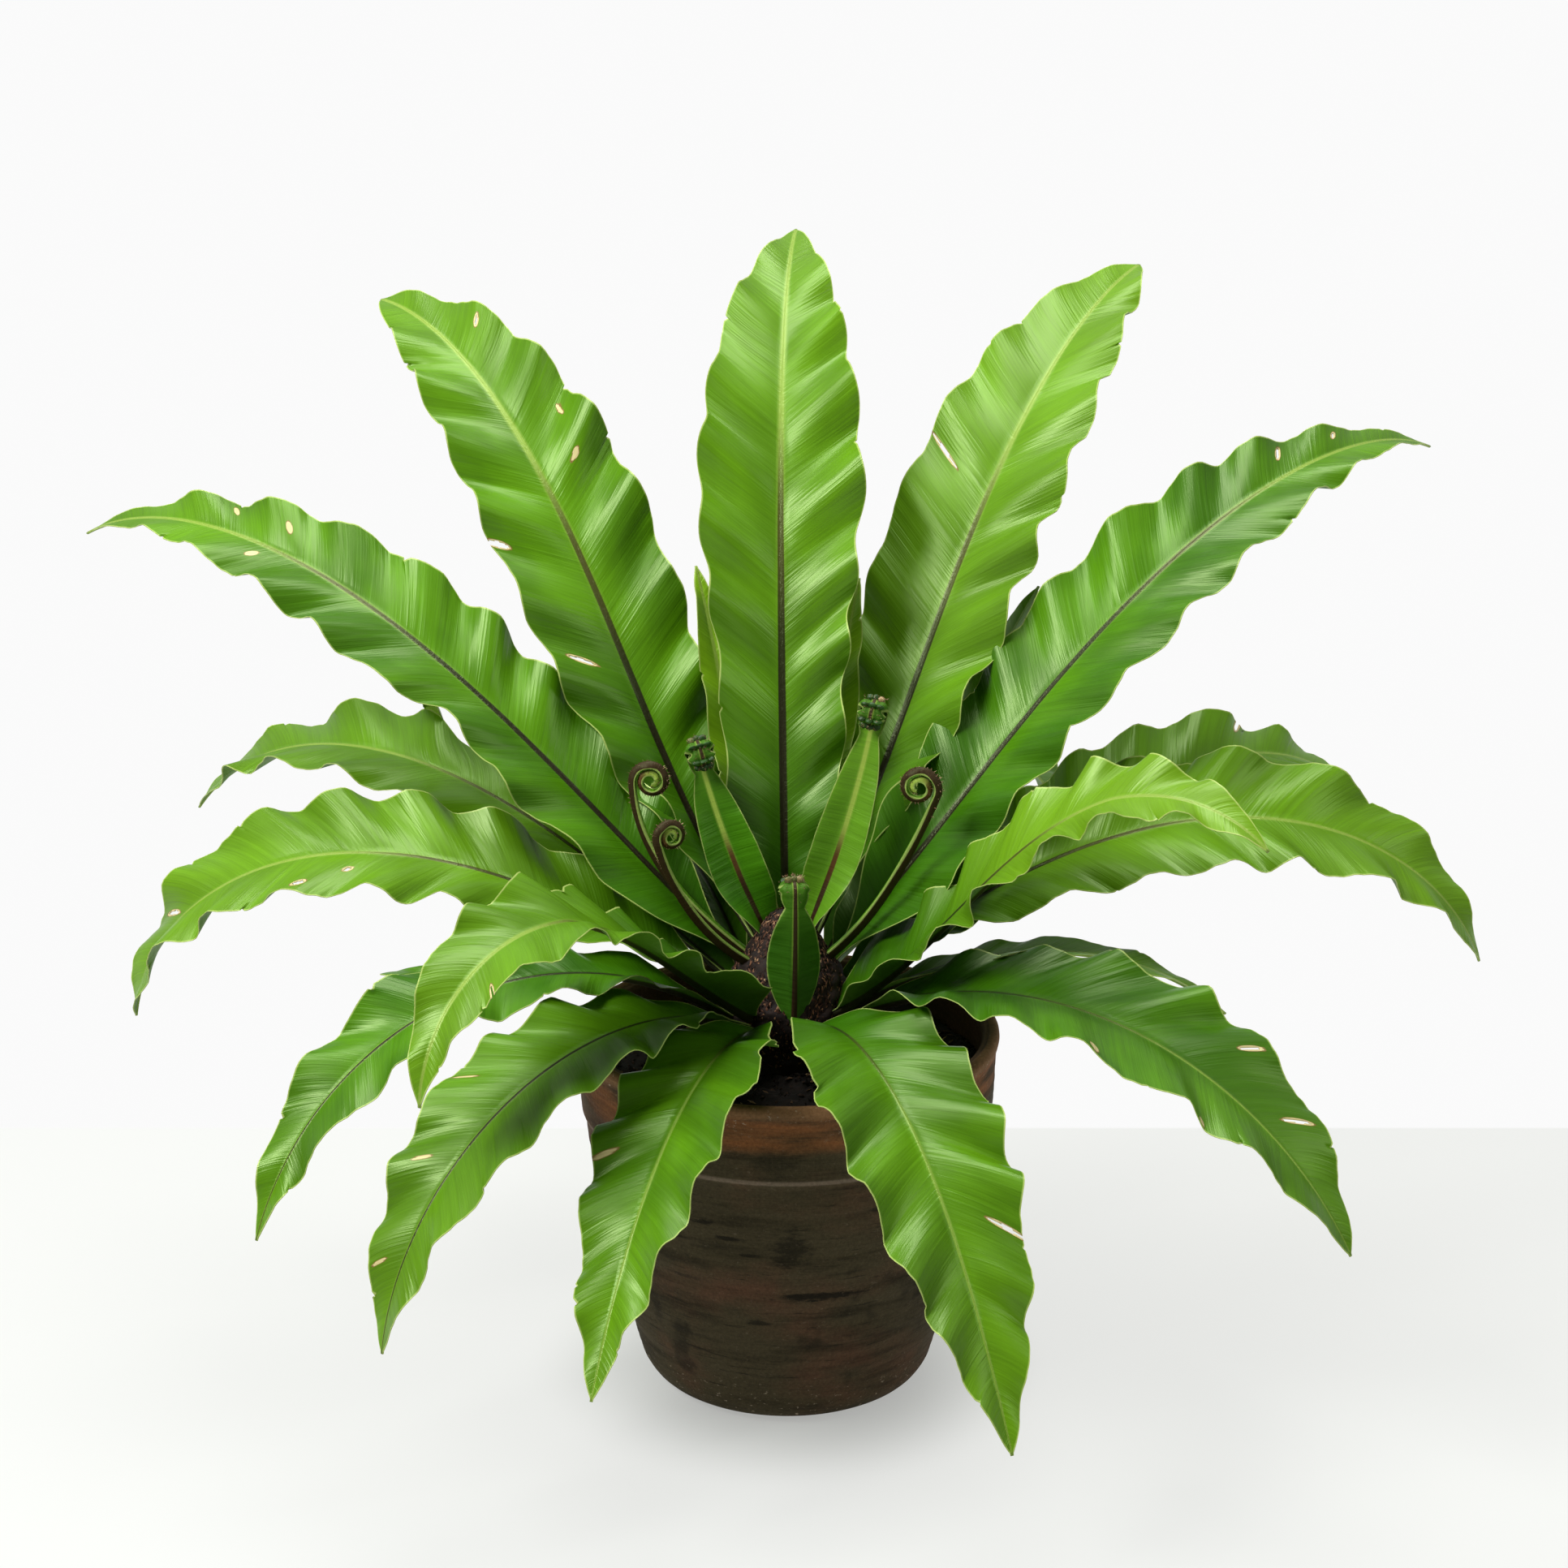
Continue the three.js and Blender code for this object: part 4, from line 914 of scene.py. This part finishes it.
# Pot
potLook = {
    "bottomBend": (56, 14, 14, -90, -14),  # an arc: radius and height of its middle, its radius, degrees
    # the rest of the section, over the lip to the middle of the floor: radius, height
    "wallLine": [(80, 48), (88.5, 86), (93.8, 119), (95, 131), (95.5, 134)],
    "bandLine": [(96.9, 135.2), (97.5, 136.2), (97.1, 137.6), (97.3, 141), (98, 155), (98, 164.4),
                 (98.6, 166.6)],
    "lipLine": [(99.7, 168.4), (100, 170.2), (99.7, 171.9), (98.8, 173.2), (97.4, 173.9), (96.1, 173.9),
                (95, 173.2), (94.3, 172.2), (93.9, 171.7), (93.4, 172.2), (92.5, 172.5), (91.8, 171.9),
                (91.5, 170.6), (91.3, 167)],
    "insideLine": [(91, 160), (90, 140), (86, 112), (80, 78), (71, 44), (60, 14), (54, 10), (0.8, 10)],
    "tall": 174, "holes": (28, 6, 32),  # drain holes: from the middle, radius, sides
    "sides": 180, "step": 1.4, "uneven": 0.3, "throwRings": 0.16,
    "body": (0.054, 0.043, 0.022), "soot": (0.008, 0.007, 0.004), "red": (0.1, 0.046, 0.026),
    "band": (0.2, 0.078, 0.028), "rim": (0.2, 0.115, 0.055), "pale": (0.45, 0.36, 0.26),
    "ridge": (0.25, 0.19, 0.14), "inside": (0.085, 0.05, 0.03),
    "rough": 0.75, "gloss": 0.06,
    "smearR": 92,  # the wall's radius, which turns the width of a mark into degrees
    # kiln marks: degrees to the right of the front, height, half width and half height in mm, strength
    "smears": [(9, 74.5, 25, 2.6, 1.0), (1, 100, 10, 12, 0.75), (-3, 147, 12, 7, 0.5),
               (-24, 112, 7, 1.4, 0.9), (-17, 105, 8, 1.4, 0.9), (-11, 97, 7, 1.2, 0.8),
               (-9, 60, 7, 1.8, 0.8), (26, 118, 6, 1.3, 0.8),
               (-32, 80, 12, 1.5, 0.6), (120, 90, 30, 3, 0.9), (200, 110, 22, 12, 0.6),
               (255, 70, 26, 2.5, 0.9)],
}


def bowl(middleR, middleZ, radius, start, end, count=9):
    a = np.radians(np.linspace(start, end, count))
    return [(middleR + radius * math.cos(t), middleZ + radius * math.sin(t)) for t in a]


def finer(profile, step):
    out = [profile[0]]
    for (r0, z0), (r1, z1) in zip(profile, profile[1:]):
        parts = max(1, int(math.hypot(r1 - r0, z1 - z0) / step))
        out += [(r0 + (r1 - r0) * k / parts, z0 + (z1 - z0) * k / parts) for k in range(1, parts + 1)]
    return np.array(out)


def softened(profile, rounds):
    profile = profile.copy()
    for _ in range(rounds):
        profile[1:-1] = profile[1:-1] * 0.5 + (profile[:-2] + profile[2:]) * 0.25
    return profile


# A turned form, closed at both ends by a fan of triangles round a middle point
def turned(profile, sides, bend, startZ, endZ=None):
    angle = np.linspace(0, fullTurn, sides, endpoint=False)
    r, z = (np.repeat(profile[:, k:k + 1], sides, 1) for k in (0, 1))
    r, z = bend(r, z, angle[None, :])
    number, after, faces = tubeFaces(*r.shape)
    middles = [[0, 0, startZ], [0, 0, z[-1].mean() if endZ is None else endZ]]
    faces += triple(after[0], number[0], r.size).tolist() + triple(number[-1], after[-1], r.size + 1).tolist()
    return np.vstack([onCircle(r, angle, z).reshape(-1, 3), middles]), faces


def makePotMaterial(look):
    material = newMaterial("dark_clay")
    place = addNode("TexCoord").outputs["Object"]
    x, y, z = partsOf(place)
    height = times(z, 1000)
    level = addNode("CombineXYZ", {0: x, 1: y})
    reach = times(addNode("VectorMath", {0: level}, operation="LENGTH").outputs["Value"], 1000)
    cloud = noise(place, (1, 1, 1.6), 16, 4, 0.55)
    smear = noise(place, (1, 1, 7), 22, 4, 0.6)
    streaks = noise(place, (1, 1, 16), 34, 5, 0.65)
    grain = noise(place, (1, 1, 1), 700, 3, 0.7)
    fleck = noise(place, (1, 1, 1.5), 330, 4, 0.75)
    patch = noise(place, (1, 1, 1), 30, 3, 0.6)
    wavy = plus(height, scaled(cloud, 16, -8))
    # each layer: how strongly it covers, its colour in the look. Heights and radii are in millimetres
    layers = [
        (fade(cloud, 0.46, 0.82), "red"),
        (times(fade(smear, 0.45, 0.75), 0.6), "soot"),
        (times(fade(wavy, 147, 156), fade(smear, 0.75, 0.35)), "band"),
        (times(fade(height, 166, 170), 0.7), "rim"),
        (times(times(fade(streaks, 0.6, 0.68), fade(height, 150, 120)), 0.6), "soot"),
    ]
    turn = calc("ARCTAN2", x, times(y, -1))
    ragged = scaled(noise(place, (1, 1, 3), 130, 4, 0.7), 2.6, -1.3)
    for angle, level, wide, tall, strength in look["smears"]:
        angle = (angle + 180) % 360 - 180
        arc = scaled(turn, look["smearR"] / wide, -math.radians(angle) * look["smearR"] / wide)
        rise = scaled(height, 1 / tall, -level / tall)
        away = calc("SQRT", plus(times(arc, arc), times(rise, rise)))
        layers.append((times(fade(plus(away, ragged), 1.15, 0.35), strength * 0.9), "soot"))
    worn = plus(fade(height, 30, 6), fade(height, 157, 168))
    layers += [
        (times(times(fade(patch, 0.6, 0.72), fade(height, 125, 95)), 0.6), "soot"),
        (times(times(fade(height, 134.2, 135.6), fade(height, 137.8, 136.4)), 0.45), "ridge"),
        (times(fade(fleck, 0.6, 0.7), scaled(worn, 0.6, 0.08)), "pale"),
        (times(times(fade(reach, 95.4, 94.4), fade(height, 146, 150)), 0.8), "inside"),
    ]
    colour = look["body"]
    for mask, tint in layers:
        colour = blend(mask, colour, look[tint])
    grey = colourRamp(grain, [(0.25, (0.7, 0.7, 0.7)), (0.75, (1.25, 1.25, 1.25))])
    bump = addNode("Bump", {"Height": plus(times(grain, 0.35), times(streaks, 0.9)), "Strength": 0.7,
                            "Distance": 0.0006})
    shader = addNode("BsdfPrincipled", {"Base Color": blend(1.0, colour, grey, "MULTIPLY"), "Normal": bump,
                                        "Roughness": scaled(smear, 0.25, look["rough"] - 0.12),
                                        "Specular IOR Level": look["gloss"]})
    addNode("OutputMaterial", {"Surface": shader})
    return material


def makePot(look):
    line = [(0.8, 0)] + bowl(*look["bottomBend"]) + look["wallLine"] + look["bandLine"] + look["lipLine"]
    profile = softened(finer(line + look["insideLine"], look["step"]), 2)
    rng = np.random.default_rng(3)
    ring = wanderer(rng, 9, 6)
    slow = [(rng.integers(2, 6), rng.uniform(0, 6.28), rng.uniform(1, 4), rng.uniform(0, 6.28))
            for _ in range(6)]

    def bend(r, z, angle):
        t = z / look["tall"]
        share = np.clip(r / 40, 0, 1) * np.clip((z - 1) / 6, 0, 1)
        d = look["throwRings"] * ring(t + 0.004 * np.sin(angle + 1))
        for around, a, up, b in slow:
            d = d + look["uneven"] / 3 * np.sin(around * angle + a) * np.sin(up * 3.1 * t + b)
        return r + d * share, z + 0.25 * np.sin(2 * angle + 0.7) * np.clip((z - 160) / 10, 0, 1)

    points, faces = turned(profile, look["sides"], bend, 0, 10)
    pot = makePiece("clay_pot", points, faces, makePotMaterial(look), ("pot",))
    turnOutward(pot)
    drillHoles(pot, look)


def drillHoles(piece, look):
    reach, radius, sides = look["holes"]
    angle = np.linspace(0, fullTurn, sides, endpoint=False)
    drills = []
    for turn in (0, 120, 240):
        rings = [onCircle(reach, math.radians(turn), 0) + onCircle(radius, angle, z) for z in (-5, 20)]
        drills.append(addObject("drill", makeMesh("drill", rings, cappedTube(2, sides))))
        cut = piece.modifiers.new("drain", "BOOLEAN")
        cut.object = drills[-1]
        cut.solver = "EXACT"
    graph = bpy.context.evaluated_depsgraph_get()
    mesh = bpy.data.meshes.new_from_object(piece.evaluated_get(graph))
    piece.modifiers.clear()
    piece.data = mesh
    for drill in drills:
        bpy.data.objects.remove(drill)


makePot(potLook)
print("fern scene: pot made")

# Potting mix
soilLook = {"rings": 70, "sides": 150, "lumps": 1.3, "rough": 0.45, "crumbs": 1500, "bark": 170, "top": 158,
            "floor": 10.3, "edgeR": 90.2}
soilStops = [(0.0, (0.004, 0.003, 0.002)), (0.45, (0.012, 0.007, 0.004)), (0.7, (0.04, 0.02, 0.01)),
             (0.88, (0.12, 0.065, 0.03)), (1.0, (0.3, 0.19, 0.1))]


def soilLevel(r, angle, look):
    swell = 5 * np.maximum(0, 1 - r / 80)
    lumps = 1.6 * np.sin(3 * angle + 0.11 * r) + 1.2 * np.sin(7 * angle - 0.2 * r)
    fine = np.sin(r * 0.9 + 5 * np.sin(4 * angle)) * np.sin(11 * angle + r * 0.31)
    fine = fine + np.sin(23 * angle - r * 0.7)
    return look["top"] + swell + (lumps + look["lumps"] * 0.45 * fine) * np.minimum(1, r / 30)


def makeSoil(look):
    rng = np.random.default_rng(17)
    wall = finer([(0.5, 10.3), (53.5, 10.6), (59.3, 14.4), (70.4, 44), (79.4, 78), (85.4, 112), (89.4, 140),
                  (90.2, 152)], 9)
    rings = np.linspace(look["edgeR"], 0.5, look["rings"])
    profile = np.vstack([wall, np.stack([rings, np.full(len(rings), look["top"])], 1)])
    top = len(wall)
    rough = rng.normal(0, look["rough"], (len(rings), look["sides"]))

    def bend(r, z, angle):
        edge = np.minimum(1, (look["edgeR"] - r[top:]) / 3)
        z[top:] = soilLevel(r[top:], angle, look) + rough * edge - 1.5 * (1 - edge)
        return r, z

    points, faces = turned(profile, look["sides"], bend, look["floor"])
    material = makeBitMaterial("potting_mix", soilStops, 0.95, 500)
    turnOutward(makePiece("soil_bed", points, faces, material, ("soil",),
                          vectors=shadeOf(rng.uniform(0, 0.45, len(points)))))

    def scatter(count, inner, outer):
        return np.sqrt(rng.uniform(inner**2, outer**2, count)), rng.uniform(0, fullTurn, count)

    count = look["crumbs"]
    r, a = scatter(count, 27, 89)
    size = rng.lognormal(0.35, 0.4, count)
    ways = unit(rng.normal(0, 1, (count, 3)) * (1, 1, 0.4))
    ups = np.tile([[0.05, 0.1, 1.0]], (count, 1))
    points, faces = chips(onCircle(r, a, soilLevel(r, a, look) + size * 0.2), ways, ups,
                          triple(size * 1.5, size * 1.1, size * 0.9), rng, 0.35)
    shades = rng.beta(1.4, 2.2, count)

    count = look["bark"]
    r, a = scatter(count, 34, 88)
    length = rng.uniform(2.5, 7, count)
    turn = rng.uniform(0, fullTurn, count)
    ways = unit(onCircle(1, turn, rng.normal(0, 0.15, count)))
    ups = triple(rng.normal(0, 0.2, count), rng.normal(0, 0.2, count), 1)
    sizes = triple(length, length * rng.uniform(0.2, 0.5, count), rng.uniform(0.6, 1.4, count))
    bark, barkFaces = chips(onCircle(r, a, soilLevel(r, a, look) + 0.8), ways, ups, sizes, rng, 0.25)
    shades = np.concatenate([shades, rng.uniform(0.55, 1.0, count)])
    makePiece("soil_crumbs", np.vstack([points, bark]), np.vstack([faces, barkFaces + len(points)]), material,
              smooth=False, vectors=shadeOf(shades, 6))


makeSoil(soilLook)
print("fern scene: potting mix made")

# Crown: a mound of narrow brown scales
crownLook = {
    "sides": 96, "step": 1.3, "lumps": 0.9, "rough": 0.35,
    "outline": [(0.5, 132), (18, 132), (26, 142), (30, 158), (30, 180), (28.5, 192), (25, 203), (19.5, 211.5),
                (15, 219), (10.5, 226), (6, 230), (0.5, 231)],
    "scales": 7000, "scalesFrom": 164, "scalesTo": 230, "length": (1.0, 3.6), "width": (0.6, 1.6),
    "slope": ((164, 185, 200, 212, 230), (0, 0.1, 0.4, 0.5, 0.6)),  # at heights, how much the mound faces up
}
crownStops = [(0.0, (0.006, 0.003, 0.002)), (0.4, (0.022, 0.009, 0.005)), (0.65, (0.075, 0.028, 0.014)),
              (0.85, (0.2, 0.09, 0.045)), (1.0, (0.42, 0.26, 0.14))]


def makeCrown(look):
    rng = np.random.default_rng(23)

    def bend(r, z, angle):
        lumps = np.sin(5 * angle + z * 0.3) * np.sin(z * 0.55 + 2 * np.sin(3 * angle))
        lumps += 0.6 * np.sin(13 * angle - z * 0.4)
        above = np.clip((z - 160) / 10, 0, 1) * np.clip(r / 10, 0, 1)
        return r + (look["lumps"] * lumps + rng.normal(0, look["rough"], r.shape)) * above - 0.6 * above, z

    profile = softened(finer(look["outline"], look["step"]), 3)
    points, faces = turned(profile, look["sides"], bend, 132, 230.8)
    material = makeBitMaterial("crown_scales", crownStops, 0.8, 700)
    turnOutward(makePiece("crown_mound", points, faces, material, ("crown",),
                          vectors=shadeOf(rng.uniform(0, 0.3, len(points)))))

    count = look["scales"]
    z = rng.uniform(look["scalesFrom"], look["scalesTo"], count)
    outline = np.array(look["outline"])[3:-1]
    r = np.interp(z, outline[:, 1], outline[:, 0])
    a = rng.uniform(0, fullTurn, count)
    slope = np.interp(z, *look["slope"])
    out = unit(onCircle(1 - slope, a, slope + 0.05))
    around = triple(-np.sin(a), np.cos(a), 0)
    ways = np.cross(out, around) + out * rng.uniform(0.1, 0.8, (count, 1))
    ways = unit(ways + around * rng.normal(0, 0.6, (count, 1)))
    length = rng.uniform(*look["length"], count)
    width = rng.uniform(*look["width"], count)
    places = onCircle(r, a, z) - out * 0.4 + ways * length[:, None] * 0.2
    points, faces = chips(places, ways, out, triple(length, width, width * 0.45), rng, 0.2)
    makePiece("crown_scale_tips", points, faces, material, smooth=False,
              vectors=shadeOf(rng.beta(1.3, 1.6, count), 6))


makeCrown(crownLook)
print("fern scene: crown made")

sizes = {"cad": [list(cadBox[0]), list(cadBox[1])], "visual": [list(v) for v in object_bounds()]}
